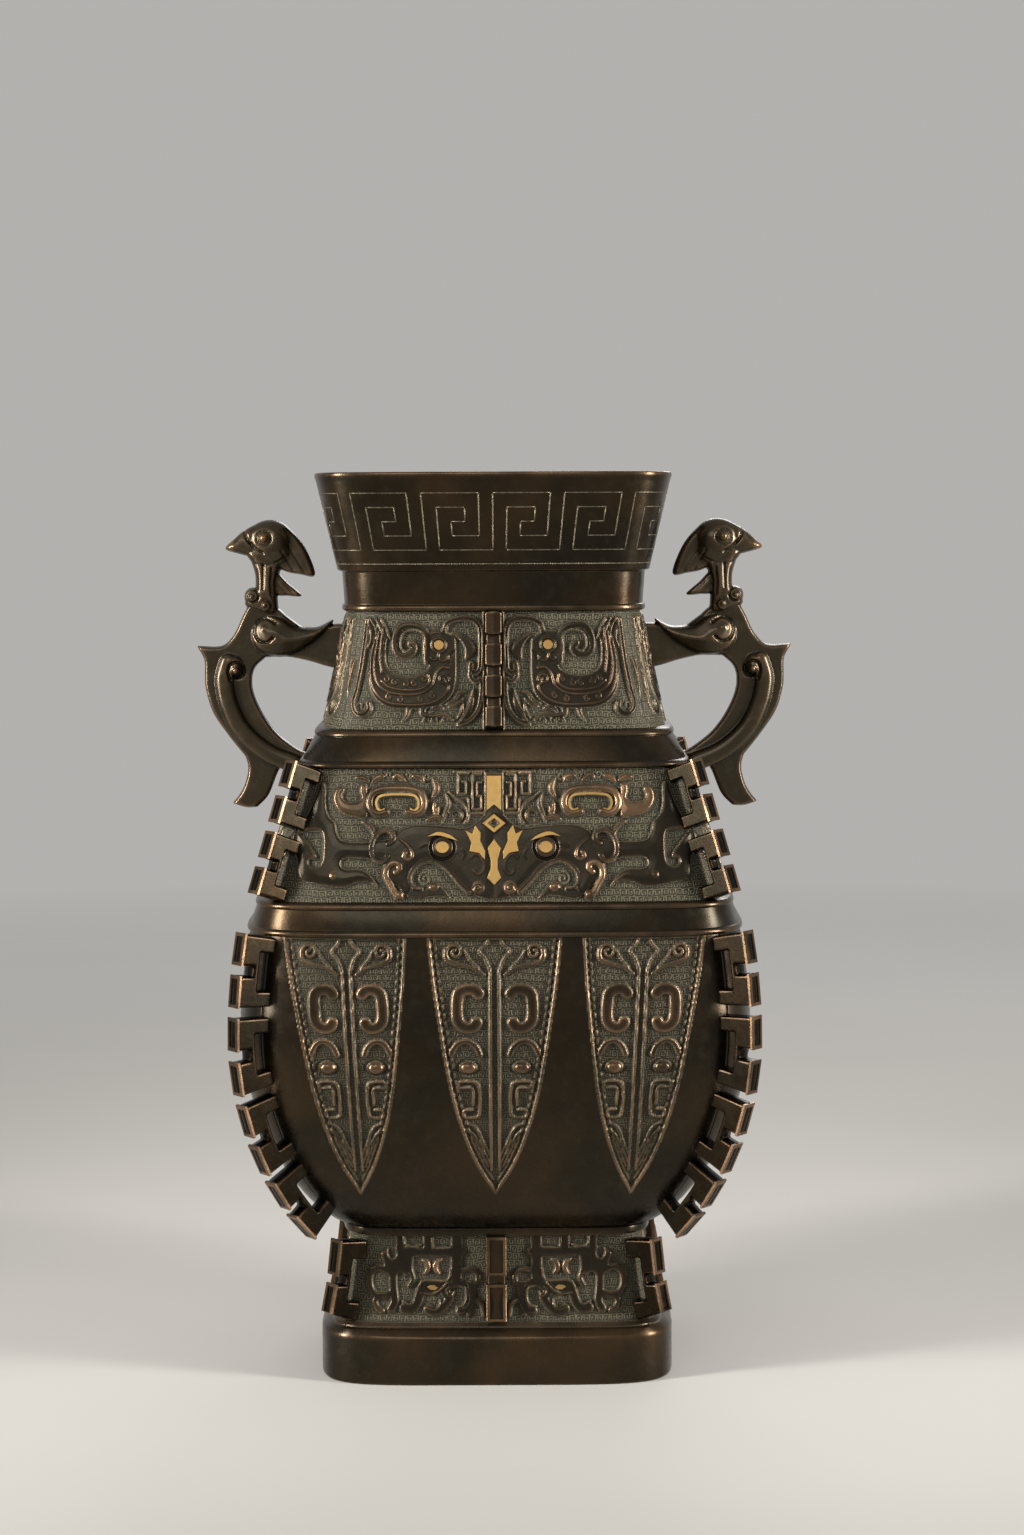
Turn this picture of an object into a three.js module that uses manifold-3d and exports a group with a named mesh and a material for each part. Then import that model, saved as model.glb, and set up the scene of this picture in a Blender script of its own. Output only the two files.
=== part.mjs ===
// Bronze hu vase: a rounded-square baluster with bird handles, openwork flanges, gold and silver inlay.
// Millimetres, +Z up, the front faces -Y, and the origin is the middle of the foot's underside.
import * as THREE from 'three';
import Module from 'manifold-3d';
import { mergeVertices } from 'three/addons/utils/BufferGeometryUtils.js';

const wasm = await Module();
wasm.setup();

// Clearance between pieces that seat on each other.
const gap = 0.3;

// Vessel: how far each band rises above the one below, and the half width of its level section.
const baseHeight = 23.3;
const baseHalf = 86.6;
const ledgeRise = 3.9;
const ledgeInset = 5;
const footPanelRise = 44.3;
const footHalf = 73;
const footRingRise = 4;
const footRingStep = 2.4;
const bellyRise = 96.5;
const bellyHalf = 123.6;
const bladeRise = 51.3;
const bandBottomHalf = 118.8;
const bandRise = 12.7;
const bandTopHalf = 114.2;
const maskRise = 65.5;
const shoulderHalf = 93.6;
const shoulderBandRise = 14.5;
const neckBottomHalf = 86.3;
const neckPanelRise = 59.4;
const neckTopHalf = 72.8;
const waistRise = 17.6;
const collarHalf = 73.8;
const collarStep = 2.2;
const lipRise = 47;
const rimHalf = 86.8;
const depthRatio = 0.78;
const wall = 4;
const rimWall = 3.4;
const ridgeRise = 1.3;
const ridgeHalfWidth = 1.6;

// Heights above the ground.
const ledgeHeight = baseHeight + ledgeRise;
const footHeight = ledgeHeight + footPanelRise;
const footRingHeight = footHeight + footRingRise;
const bellyHeight = footRingHeight + bellyRise;
const bandBottom = bellyHeight + bladeRise;
const bandTop = bandBottom + bandRise;
const shoulderHeight = bandTop + maskRise;
const neckBottom = shoulderHeight + shoulderBandRise;
const neckTop = neckBottom + neckPanelRise;
const collarHeight = neckTop + waistRise;
const rimHeight = collarHeight + lipRise;

// Squareness of the level section: the exponent of its superellipse.
const baseSquareness = 5.6;
const footSquareness = 7.4;
const bellySquareness = 6;
const maskSquareness = 7.2;
const neckSquareness = 5.4;

// Floor plate, let into the vessel from below.
const floorHalf = 66;
const floorThickness = 4;
const floorLedge = 3.5;
const floorLedgeThickness = 3;

// Flanges: thickness, how far the teeth stand out, and the bar that joins them.
const flangeThickness = 8.4;
const upperFlangeReach = 14;
const lowerFlangeReach = 16.5;
const footFlangeReach = 13.8;
const flangeMargin = 2.6;
const bellyFlangeRise = 10;
const toothGap = 4.4;
const barShare = 0.58;
const slotShare = 0.36;
const legShare = 0.55;
const webShare = 0.6;
const neckFlangeWidth = 8;
const neckFlangeReach = 5;
const footCentreFlangeWidth = 9.6;
const footCentreFlangeReach = 5;

// Handles: plate and raised parts, measured across the handle.
const plateThickness = 7;
const ribRadius = 4.6;
const wingThickness = 13;
const headThickness = 16;
const neckRadius = 5.2;
const handleSpan = 140;
const handleDrop = 20;
const tenonDrop = 57.5;
const tenonLength = 2;
const tenonWidth = 4.6;
const tenonHeight = 6;
const eyeRadius = 2.7;

// Inlay: gold plates sunk into pockets, silver wire laid round the collar.
const goldThickness = 1;
const goldProud = 0.35;
const birdEyeOut = 26;
const birdEyeRadius = 2.9;
const birdEyeDrop = 17.5;
const dragonEyeOut = 30.5;
const dragonEyeHalf = 3;
const dragonEyeRise = 19.1;
const wireWidth = 0.7;
const wireThickness = 0.4;
const fretTopMargin = 10;
const fretBottomMargin = 10;
const fretHeight = lipRise - fretTopMargin - fretBottomMargin;
const fretUnits = 16;

// Cast relief: how deep its ground lies below the plain surface, which its main figures keep.
const groundDepth = 1.7;
const figureMargin = 0.8;
const prismRootShare = 0.85;
const rootStripHalf = 4.4;
const bladeHalf = 32;
const bladeLengthShare = 0.857;
const bladeSpacing = 70.5;
const bladeLean = 6;
const sideBladeShare = 0.91;
const sideBladeSpacing = 36;

const ringSegments = 36;
const bronze = { color: 0x3a2c20, roughness: 0.42, metalness: 0.9 };
const copper = { color: 0x6a4128, roughness: 0.45, metalness: 0.9 };
const gold = { color: 0xd9a441, roughness: 0.32, metalness: 1 };
const silver = { color: 0xa8a49a, roughness: 0.35, metalness: 1 };

const group = new THREE.Group();

/** Adds a named piece to the vase. */
function addPiece(name, geometry, finish) {
  const mesh = new THREE.Mesh(geometry, new THREE.MeshStandardMaterial(finish));
  mesh.name = name;
  group.add(mesh);
  return mesh;
}

/** A solid for joining and cutting, from closed geometry. */
function solidOf(geometry) {
  const plain = geometry.clone();
  plain.deleteAttribute('normal');
  plain.deleteAttribute('uv');
  const merged = mergeVertices(plain, 1e-4);
  const vertProperties = Float32Array.from(merged.attributes.position.array);
  const triVerts = Uint32Array.from(merged.index.array);
  return new wasm.Manifold(new wasm.Mesh({ numProp: 3, vertProperties, triVerts }));
}

/** Geometry from a joined or cut solid. */
function geometryOf(solid) {
  const mesh = solid.getMesh();
  const geometry = new THREE.BufferGeometry();
  geometry.setAttribute('position', new THREE.BufferAttribute(Float32Array.from(mesh.vertProperties), 3));
  geometry.setIndex(new THREE.BufferAttribute(Uint32Array.from(mesh.triVerts), 1));
  geometry.computeVertexNormals();
  return geometry;
}

// Level sections.

/** One level of the vessel: its height, half width and squareness. */
function level(z, half, squareness) {
  return { z, half, squareness };
}

/** Levels between two heights, with the half width given by a share from 0 to 1. */
function curvedLevels(from, to, steps, share) {
  const levels = [];
  for (let i = 0; i <= steps; i += 1) {
    const t = i / steps;
    const s = share(t);
    levels.push(level(
      from.z + (to.z - from.z) * t,
      from.half + (to.half - from.half) * s,
      from.squareness + (to.squareness - from.squareness) * t,
    ));
  }
  return levels;
}

const base = level(baseHeight, baseHalf, baseSquareness);
const ledge = level(ledgeHeight, baseHalf - ledgeInset, footSquareness);
const footTop = level(footHeight, footHalf, footSquareness);
const footRing = level(footRingHeight, footHalf + footRingStep, bellySquareness);
const bellyWidest = level(bellyHeight, bellyHalf, bellySquareness);
const bandLow = level(bandBottom, bandBottomHalf, bellySquareness);
const bandHigh = level(bandTop, bandTopHalf, maskSquareness);
const shoulder = level(shoulderHeight, shoulderHalf, maskSquareness);
const neckLow = level(neckBottom, neckBottomHalf, neckSquareness);
const neckHigh = level(neckTop, neckTopHalf, neckSquareness);
const collarLow = level(collarHeight, collarHalf, neckSquareness);
const collarOut = level(collarHeight + gap, collarHalf + collarStep, neckSquareness);
const rim = level(rimHeight, rimHalf, neckSquareness);

// The belly rounds out of the foot, and the neck draws in to its waist.
const bellyPower = 1.8;
const bellyRoot = 0.7;
const footPower = 0.5;
const neckPower = 0.74;
const lowerBelly = curvedLevels(footRing, bellyWidest, 9, (t) => (1 - (1 - t) ** bellyPower) ** bellyRoot);
const upperBelly = curvedLevels(bellyWidest, bandLow, 3, (t) => t * t);
const footPanel = curvedLevels(ledge, footTop, 4, (t) => t ** footPower);
const neckPanel = curvedLevels(neckLow, neckHigh, 5, (t) => t ** neckPower);

const bareProfile = [
  level(0, baseHalf, baseSquareness),
  base,
  ...footPanel,
  level(footHeight + gap, footHalf + footRingStep, bellySquareness),
  ...lowerBelly,
  ...upperBelly.slice(1),
  bandHigh,
  shoulder,
  ...neckPanel,
  collarLow,
  collarOut,
  rim,
];

/** Half width and squareness of the vessel at a height. */
function sectionAt(z) {
  const last = bareProfile.length - 1;
  let i = 1;
  while (i < last && bareProfile[i].z < z) i += 1;
  const low = bareProfile[i - 1];
  const high = bareProfile[i];
  const t = THREE.MathUtils.clamp((z - low.z) / (high.z - low.z), 0, 1);
  const half = low.half + (high.half - low.half) * t;
  return level(z, half, low.squareness + (high.squareness - low.squareness) * t);
}

/** The profile with a raised ridge at each of the given heights. */
function ridgedProfile(heights) {
  const levels = bareProfile.filter((l) => heights.every((z) => Math.abs(l.z - z) > ridgeHalfWidth));
  for (const z of heights) {
    const foot = [sectionAt(z - ridgeHalfWidth), sectionAt(z + ridgeHalfWidth)];
    const crown = [sectionAt(z - ridgeHalfWidth / 2), sectionAt(z + ridgeHalfWidth / 2)];
    crown.forEach((l) => { l.half += ridgeRise; });
    levels.push(foot[0], ...crown, foot[1]);
  }
  return levels.sort((a, b) => a.z - b.z);
}

/** Points of one level section; a negative offset draws it in all round. */
function ring(l, offset = 0) {
  const points = [];
  const x = l.half + offset;
  const y = l.half * depthRatio + offset;
  for (let i = 0; i < ringSegments; i += 1) {
    const angle = (i / ringSegments) * 2 * Math.PI;
    const c = Math.cos(angle);
    const s = Math.sin(angle);
    points.push(new THREE.Vector3(
      x * Math.sign(c) * Math.abs(c) ** (2 / l.squareness),
      y * Math.sign(s) * Math.abs(s) ** (2 / l.squareness),
      l.z,
    ));
  }
  return points;
}

/** Closed geometry through rings of equal length, either capped or joined end to end. */
function loft(rings, joinEnds = false) {
  const count = rings[0].length;
  const points = rings.flat();
  const index = [];
  const bands = joinEnds ? rings.length : rings.length - 1;
  for (let r = 0; r < bands; r += 1) {
    const next = (r + 1) % rings.length;
    for (let i = 0; i < count; i += 1) {
      const j = (i + 1) % count;
      const a = r * count + i;
      const b = r * count + j;
      const c = next * count + j;
      const d = next * count + i;
      index.push(a, b, c, a, c, d);
    }
  }
  if (!joinEnds) {
    const first = points.length;
    points.push(centreOf(rings[0]), centreOf(rings[rings.length - 1]));
    const top = (rings.length - 1) * count;
    for (let i = 0; i < count; i += 1) {
      const j = (i + 1) % count;
      index.push(first, j, i, first + 1, top + i, top + j);
    }
  }
  const geometry = new THREE.BufferGeometry().setFromPoints(points);
  geometry.setIndex(index);
  geometry.computeVertexNormals();
  return geometry;
}

/** The middle of a ring of points. */
function centreOf(points) {
  const centre = new THREE.Vector3();
  points.forEach((p) => centre.add(p));
  return centre.divideScalar(points.length);
}

const ridges = [bandBottom, bandTop, shoulderHeight, neckBottom, neckTop];
const outerProfile = ridgedProfile(ridges);

/** The vessel's outside as a filled solid, grown by an offset, to cut what seats on it. */
function filledVessel(offset) {
  return solidOf(loft(outerProfile.map((l) => ring(l, offset))));
}

// Zones of relief that run right round the vessel.
const zones = {
  foot: { low: ledgeHeight, high: footHeight },
  mask: { low: bandTop + ridgeHalfWidth, high: shoulderHeight - ridgeHalfWidth },
  neck: { low: neckBottom + ridgeHalfWidth, high: neckTop - ridgeHalfWidth },
};

/** What is cut away round the vessel in a zone to reach the relief's ground, less a clearance. */
function groundRing(zone, clearance = 0) {
  const low = sectionAt(zone.low + clearance);
  const high = sectionAt(zone.high - clearance);
  const levels = [low, ...bareProfile.filter((l) => l.z > low.z + gap && l.z < high.z - gap), high];
  const outside = levels.map((l) => ring(l, ridgeRise + clearance));
  const inside = levels.map((l) => ring(l, clearance - groundDepth)).reverse();
  return solidOf(loft([...outside, ...inside], true));
}

/** The vessel's outside with its grounds cut, grown by the gap, to seat the flanges on it. */
function flangeSeat() {
  let seat = filledVessel(gap);
  Object.values(zones).forEach((zone) => { seat = seat.subtract(groundRing(zone, gap)); });
  return seat;
}

/** A straight bar between two corners. */
function barSolid(low, high) {
  const size = new THREE.Vector3().subVectors(high, low);
  const geometry = new THREE.BoxGeometry(size.x, size.y, size.z);
  geometry.translate((low.x + high.x) / 2, (low.y + high.y) / 2, (low.z + high.z) / 2);
  return solidOf(geometry);
}

/** The hollow vessel before its pockets: outside up, lip, inside down, ledge for the floor plate. */
function vesselShell() {
  const ledgeTop = footRing.z + floorLedgeThickness;
  const inner = bareProfile
    .filter((l, i) => i % 2 === 0 && l.z > ledgeTop + 2 * wall && l.z < collarLow.z - wall)
    .reverse();
  const seatHalf = floorHalf + gap;
  const seatTop = ledgeTop - floorLedgeThickness;
  const seatBottom = seatTop - gap - floorThickness;
  const rings = [
    ...outerProfile.map((l) => ring(l)),
    ring(level(rimHeight, rimHalf - rimWall, neckSquareness)),
    ring(collarOut, -rimWall - collarStep),
    ...inner.map((l) => ring(l, -wall)),
    ring(sectionAt(ledgeTop + wall), -wall),
    ring(level(ledgeTop, floorHalf - floorLedge, bellySquareness)),
    ring(level(seatTop, floorHalf - floorLedge, bellySquareness)),
    ring(level(seatTop, seatHalf, bellySquareness)),
    ring(level(seatBottom, seatHalf, bellySquareness)),
    ...[...footPanel].reverse().slice(1).map((l) => ring(l, -wall)),
    ring(base, -wall - ledgeInset),
    ring(level(0, baseHalf - wall - ledgeInset / 2, baseSquareness)),
  ];
  return solidOf(loft(rings, true));
}

/** The flat plate that closes the vessel above its foot. */
function floorPlate() {
  const top = footRing.z - gap;
  const low = level(top - floorThickness, floorHalf, bellySquareness);
  const high = level(top, floorHalf, bellySquareness);
  return loft([ring(low), ring(high)]);
}

// Pieces on the outside of the vessel.

/** Distance from the axis to the surface along a level direction. */
function surfaceDistance(z, direction) {
  const l = sectionAt(z);
  const x = Math.abs(direction.x) / l.half;
  const y = Math.abs(direction.y) / (l.half * depthRatio);
  return (x ** l.squareness + y ** l.squareness) ** (-1 / l.squareness);
}

/** An outline in the upright plane through the axis along a direction, extruded across that plane. */
function uprightPlate(outline, direction, thickness) {
  const options = { depth: thickness, bevelEnabled: false, curveSegments: 4 };
  const geometry = new THREE.ExtrudeGeometry(outline, options);
  geometry.translate(0, 0, -thickness / 2);
  geometry.rotateX(Math.PI / 2);
  geometry.rotateZ(Math.atan2(direction.y, direction.x));
  return geometry;
}

/** Points on the vessel's surface line in one upright plane, spaced evenly along the line. */
function rootLine(direction, highest, lowest, spacing = 2) {
  const points = [];
  for (let z = highest; z > lowest; z -= spacing) {
    points.push(new THREE.Vector2(surfaceDistance(z, direction), z));
  }
  points.push(new THREE.Vector2(surfaceDistance(lowest, direction), lowest));
  const curve = new THREE.SplineCurve(points);
  curve.arcLengthDivisions = points.length * 4;
  return curve;
}

/**
 * A toothed flange in the upright plane along a direction. Teeth come in pairs: each pair is a hook
 * whose two legs stand on the vessel, with a slot behind the bar that joins them.
 */
function toothedFlange({ direction, highest, lowest, pairs, reach }) {
  const line = rootLine(direction, highest, lowest);
  const length = line.getLength();
  const pitch = (length + toothGap) / (pairs * 2);
  const tooth = pitch - toothGap;
  const barOut = reach * barShare;
  const slotOut = reach * slotShare;
  const rooted = -flangeMargin;
  const at = (along, out) => {
    const u = THREE.MathUtils.clamp(along / length, 0, 1);
    const point = line.getPointAt(u);
    const tangent = line.getTangentAt(u);
    return new THREE.Vector2(point.x - tangent.y * out, point.y + tangent.x * out);
  };
  const outer = [];
  const inner = [];
  for (let i = 0; i < pairs * 2; i += 1) {
    const start = i * pitch;
    const end = start + tooth;
    outer.push(at(start, barOut), at(start, reach), at(end, reach), at(end, barOut));
    const leg = tooth * legShare;
    if (i % 2 === 0) {
      inner.push(at(start + leg, rooted), at(start + leg, slotOut), at((start + end) / 2 + leg, slotOut));
    } else {
      inner.push(at(start + tooth / 2 - leg / 2, slotOut), at(end - leg, slotOut), at(end - leg, rooted));
      if (i < pairs * 2 - 1) inner.push(at(end + toothGap / 2, rooted));
    }
  }
  const outline = [at(0, rooted), ...outer, at(length, rooted), ...inner.reverse()];
  const plate = uprightPlate(new THREE.Shape(outline), direction, flangeThickness);
  return geometryOf(solidOf(plate).subtract(flangeSeat()));
}

/** A solid centre flange on a flat face: blocks standing out of a lower web. */
function blockFlange({ direction, highest, lowest, blocks, reach, width }) {
  const web = reach * webShare;
  const pitch = (highest - lowest + toothGap) / blocks;
  const points = [];
  const at = (z, out) => new THREE.Vector2(surfaceDistance(z, direction) + out, z);
  for (let i = 0; i < blocks; i += 1) {
    const top = highest - i * pitch;
    const bottom = top - pitch + toothGap;
    if (i > 0) points.push(at(top, web));
    points.push(at(top, reach), at(bottom, reach));
    if (i < blocks - 1) points.push(at(bottom, web));
  }
  const outline = [at(highest, -flangeMargin), ...points, at(lowest, -flangeMargin)];
  const plate = uprightPlate(new THREE.Shape(outline), direction, width);
  return geometryOf(solidOf(plate).subtract(flangeSeat()));
}

// Handles, drawn for the right side in the plane of X and Z, then mirrored.

const handleHeight = neckTop - handleDrop;
const handleStart = sectionAt(handleHeight).half;

// The runs below are drawn for a handle 140 high, from tail to crown, and take their size from this.
const drawnSpan = 140;
const handleScale = handleSpan / drawnSpan;

/** A point of the handle, from its upper seat on the neck: out from the neck and up. */
function handlePoint(out, up) {
  return new THREE.Vector2(handleStart + out * handleScale, handleHeight + up * handleScale);
}

/** A smooth closed or open outline through points given from the handle's upper seat. */
function handleShape(runs) {
  const shape = new THREE.Shape();
  runs.forEach((run, i) => {
    const points = run.map(([out, up]) => handlePoint(out, up));
    if (i === 0) shape.moveTo(points[0].x, points[0].y);
    else shape.lineTo(points[0].x, points[0].y);
    if (points.length > 2) shape.splineThru(points.slice(1));
    else if (points.length === 2) shape.lineTo(points[1].x, points[1].y);
  });
  return shape;
}

/** An extruded handle shape, centred on the handle's plane. */
function handlePlate(shape, thickness) {
  const options = { depth: thickness, bevelEnabled: false, curveSegments: 2 };
  const geometry = new THREE.ExtrudeGeometry(shape, options);
  geometry.translate(0, 0, -thickness / 2);
  geometry.rotateX(Math.PI / 2);
  return solidOf(geometry);
}

/** A round bar along points given from the handle's upper seat. */
function handleBar(points, radius, steps) {
  const path = new THREE.CatmullRomCurve3(points.map(([out, up]) => {
    const p = handlePoint(out, up);
    return new THREE.Vector3(p.x, 0, p.y);
  }));
  const section = new THREE.Shape().absarc(0, 0, radius, 0, 2 * Math.PI, false);
  const options = { steps, extrudePath: path, curveSegments: 4, bevelEnabled: false };
  return solidOf(new THREE.ExtrudeGeometry(section, options));
}

/** A rounded lump, such as a head or a curl, stretched along each axis. */
function handleLump([out, up], [sx, sy, sz], segments = 12) {
  const geometry = new THREE.SphereGeometry(1, segments, segments / 2 + 2);
  geometry.rotateX(Math.PI / 2);
  geometry.scale(sx * handleScale, sy * handleScale, sz * handleScale);
  const p = handlePoint(out, up);
  geometry.translate(p.x, 0, p.y);
  return solidOf(geometry);
}

// The arm's outer edge runs from the spur on the shoulder to the tail; the inner edge frames the loop.
const spurRun = [[60, -0.2], [72, 0.2]];
const outerRun = [[72, 0.2], [68.4, -7], [68.2, -21], [64.8, -33], [57, -44.5], [48.8, -55]];
const tailOuterRun = [[48.8, -55], [47.6, -61], [49.5, -69], [55, -78.2]];
const tailInnerRun = [[43.3, -80.3], [37.5, -74], [32, -61], [26, -57], [8, -55]];
const innerRun = [
  [13, -55], [19.4, -52.9], [26.5, -48.5], [33.6, -42.7], [39.8, -34.1], [44.3, -24.5], [45.3, -17],
];
const underWingRun = [
  [45.3, -17], [43.5, -10.7], [38.5, -5.8], [29, -5.2], [18, -7.2], [5, -10.8], [-9, -11],
];
const chestRun = [[-9, 10.5], [4, 10.5], [15, 7], [26, 13.5], [33, 19], [45.5, 21]];
const wingRun = [
  [5, 12], [13, 9.4], [22, 10], [29, 15], [35, 16.5], [42, 13], [44.6, 6], [42, -1], [35, -5], [24, -5],
];
const wingUnderRun = [[24, -5], [15, -1.5], [9, 4.5], [5, 12]];
const crestRun = [[26, 55], [20, 46], [15, 35], [24, 35.5], [32, 39.5], [33, 52]];
const lowCrestRun = [[36, 33], [20.5, 24.4], [36, 25]];
const ribRun = [[57, -7], [58.2, -19], [55, -32.5], [47, -44.5], [36, -53], [24, -57], [16, -58.5]];
const throatRun = [[38, 14], [38.6, 28], [37.5, 40], [35.5, 50]];
const head = [35.8, 51.3];
const headLength = 11.2;
const headRise = 9.6;
const beakBase = [45.4, 50];
const beakLength = 13;
const beakRadius = 5.2;
const eye = [38, 53.3];
const throatCurl = { at: [37.8, 20.3], size: [4.2, 6.2, 4.2] };
const breastCurl = { at: [43.3, 24.2], size: [4.4, 6, 4.6] };
const armScroll = { at: [52.3, -11], size: [8, 6.4, 8] };
const wingScroll = { at: [36, 7], size: [8.6, 8.4, 8.6] };

/** The bird's beak: a cone that droops a little. */
function beakSolid() {
  const geometry = new THREE.ConeGeometry(beakRadius, beakLength, 8);
  geometry.scale(handleScale, handleScale, handleScale * 0.8);
  geometry.rotateZ(-Math.PI / 2 - 0.2);
  geometry.rotateX(Math.PI / 2);
  const p = handlePoint(...beakBase);
  geometry.translate(p.x + (beakLength * handleScale) / 4, 0, p.y);
  return solidOf(geometry);
}

/** Half the head's thickness where the eye sits. */
function eyeSeat() {
  const x = (eye[0] - head[0]) / headLength;
  const z = (eye[1] - head[1]) / headRise;
  return (headThickness / 2) * handleScale * Math.sqrt(1 - x * x - z * z);
}

/** An eye stud, grown by an offset to cut its socket; side is 1 for the front and -1 for the back. */
function eyeStud(side, offset) {
  const geometry = new THREE.SphereGeometry(1, 10, 6);
  geometry.rotateX(Math.PI / 2);
  geometry.scale(eyeRadius + offset, eyeRadius * 0.75 + offset, eyeRadius + offset);
  const p = handlePoint(...eye);
  geometry.translate(p.x, -side * eyeSeat(), p.y);
  return geometry;
}

/** A tenon on the handle, or with an offset the socket for it. */
function tenon(z, offset) {
  const surface = sectionAt(z).half;
  const low = new THREE.Vector3(surface - tenonLength, -tenonWidth / 2, z - tenonHeight / 2);
  const high = new THREE.Vector3(surface + tenonLength, tenonWidth / 2, z + tenonHeight / 2);
  return barSolid(low.addScalar(-offset), high.addScalar(offset));
}

const upperTenonHeight = handleHeight;
const lowerTenonHeight = handleHeight - tenonDrop * handleScale;

/** One bird handle on the right side. */
function handleSolid() {
  const outline = handleShape([
    chestRun,
    spurRun,
    outerRun.slice(1),
    tailOuterRun.slice(1),
    tailInnerRun,
    innerRun,
    underWingRun.slice(1),
  ]);
  const parts = [
    handlePlate(handleShape([wingRun, wingUnderRun.slice(1)]), wingThickness),
    handlePlate(handleShape([crestRun]), plateThickness),
    handlePlate(handleShape([lowCrestRun]), plateThickness),
    handleBar(ribRun, ribRadius, 9),
    handleBar(throatRun, neckRadius, 4),
    handleLump(head, [headLength, headThickness / 2, headRise], 12),
    beakSolid(),
    ...[throatCurl, breastCurl, armScroll, wingScroll].map(({ at, size }) => handleLump(at, size, 8)),
  ];
  let solid = handlePlate(outline, plateThickness);
  parts.forEach((part) => { solid = solid.add(part); });
  solid = solid.subtract(filledVessel(gap));
  solid = solid.add(tenon(upperTenonHeight, 0)).add(tenon(lowerTenonHeight, 0));
  for (const side of [1, -1]) solid = solid.subtract(solidOf(eyeStud(side, gap)));
  return solid;
}

/** Geometry mirrored left to right, with its faces turned back outwards. */
function mirrored(geometry) {
  const copy = geometry.clone();
  copy.scale(-1, 1, 1);
  const index = copy.index ? Array.from(copy.index.array) : [...Array(copy.attributes.position.count).keys()];
  for (let i = 0; i < index.length; i += 3) {
    [index[i], index[i + 1]] = [index[i + 1], index[i]];
  }
  copy.setIndex(index);
  copy.computeVertexNormals();
  return copy;
}

// Gold inlay: outlines as [across from the centre line, height], for the right half of a face.

const barHalf = 3.4;
const maskCentreShare = 0.588;
const maskCentre = bandTop + maskRise * maskCentreShare;

// The gold outlines are drawn for a mask band 65.5 high, and take their size from this.
const drawnMaskRise = 65.5;
const goldScale = maskRise / drawnMaskRise;

/** Outlines of the gold on one face; a mirrored outline has a copy on the left. */
function goldOutlines() {
  const m = maskCentre;
  const ringOf = (cx, cz, rx, rz, count) => [...Array(count).keys()].map((i) => {
    const angle = (i / count) * 2 * Math.PI;
    return [cx + rx * Math.cos(angle), cz + rz * Math.sin(angle)];
  });
  const hornPath = [
    [41, 5.3], [37.2, 6.6], [36.6, 10.6], [39.5, 14.4], [46, 15.4],
    [52.5, 14], [55.3, 10], [53.8, 6], [50, 5],
  ];
  return [
    { name: 'forehead_bar', points: [[-barHalf, 6], [0, 8.8], [barHalf, 6], [barHalf, 22], [-barHalf, 22]] },
    { name: 'forehead_lozenge', points: [[-5.4, 0], [0, -4.2], [5.4, 0], [0, 4.2]] },
    {
      name: 'nose_dagger',
      points: [
        [0, -27.6], [3.1, -23.8], [1.5, -20], [1.3, -16], [3.15, -10.2], [0, -7.2],
        [-3.15, -10.2], [-1.3, -16], [-1.5, -20], [-3.1, -23.8],
      ],
    },
    {
      name: 'side_flame',
      mirror: true,
      points: [
        [4, -16], [8, -13.4], [11.5, -11.4], [10.4, -8.4], [13, -3.8], [8.2, -6.2], [8.4, -1], [5.6, -5.4],
      ],
    },
    { name: 'brow', mirror: true, points: [[16.7, -7.4], [24, -5], [31.8, -6.3], [24.4, -3]] },
    { name: 'mask_pupil', mirror: true, points: ringOf(24, -10.1, 3, 2.3, 8) },
    { name: 'horn_line', mirror: true, points: ribbon(hornPath, 1.2) },
  ].map((piece) => ({ ...piece, points: piece.points.map(([x, z]) => [x * goldScale, m + z * goldScale]) }));
}

/** A narrow band along a path of points. */
function ribbon(path, width) {
  const left = [];
  const right = [];
  path.forEach((p, i) => {
    const before = path[Math.max(i - 1, 0)];
    const after = path[Math.min(i + 1, path.length - 1)];
    const along = new THREE.Vector2(after[0] - before[0], after[1] - before[1]).normalize();
    left.push([p[0] - along.y * width / 2, p[1] + along.x * width / 2]);
    right.push([p[0] + along.y * width / 2, p[1] - along.x * width / 2]);
  });
  return [...right, ...left.reverse()];
}

/** An outline grown by an offset, with mitred corners. */
function grown(points, offset) {
  const area = THREE.ShapeUtils.area(points.map(([x, y]) => new THREE.Vector2(x, y)));
  const turn = Math.sign(area);
  return points.map((p, i) => {
    const before = points[(i + points.length - 1) % points.length];
    const after = points[(i + 1) % points.length];
    const a = new THREE.Vector2(p[0] - before[0], p[1] - before[1]).normalize();
    const b = new THREE.Vector2(after[0] - p[0], after[1] - p[1]).normalize();
    const normal = new THREE.Vector2(a.y + b.y, -a.x - b.x).multiplyScalar(turn).normalize();
    const cosine = Math.max(normal.x * a.y * turn - normal.y * a.x * turn, 0.4);
    return [p[0] + (normal.x * offset) / cosine, p[1] + (normal.y * offset) / cosine];
  });
}

/** Depth of the front face behind the widest plane, as a Y place, at a point of the face. */
function faceY(x, z) {
  const l = sectionAt(z);
  const share = Math.min(Math.abs(x) / l.half, 1);
  return -l.half * depthRatio * (1 - share ** l.squareness) ** (1 / l.squareness);
}

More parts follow.
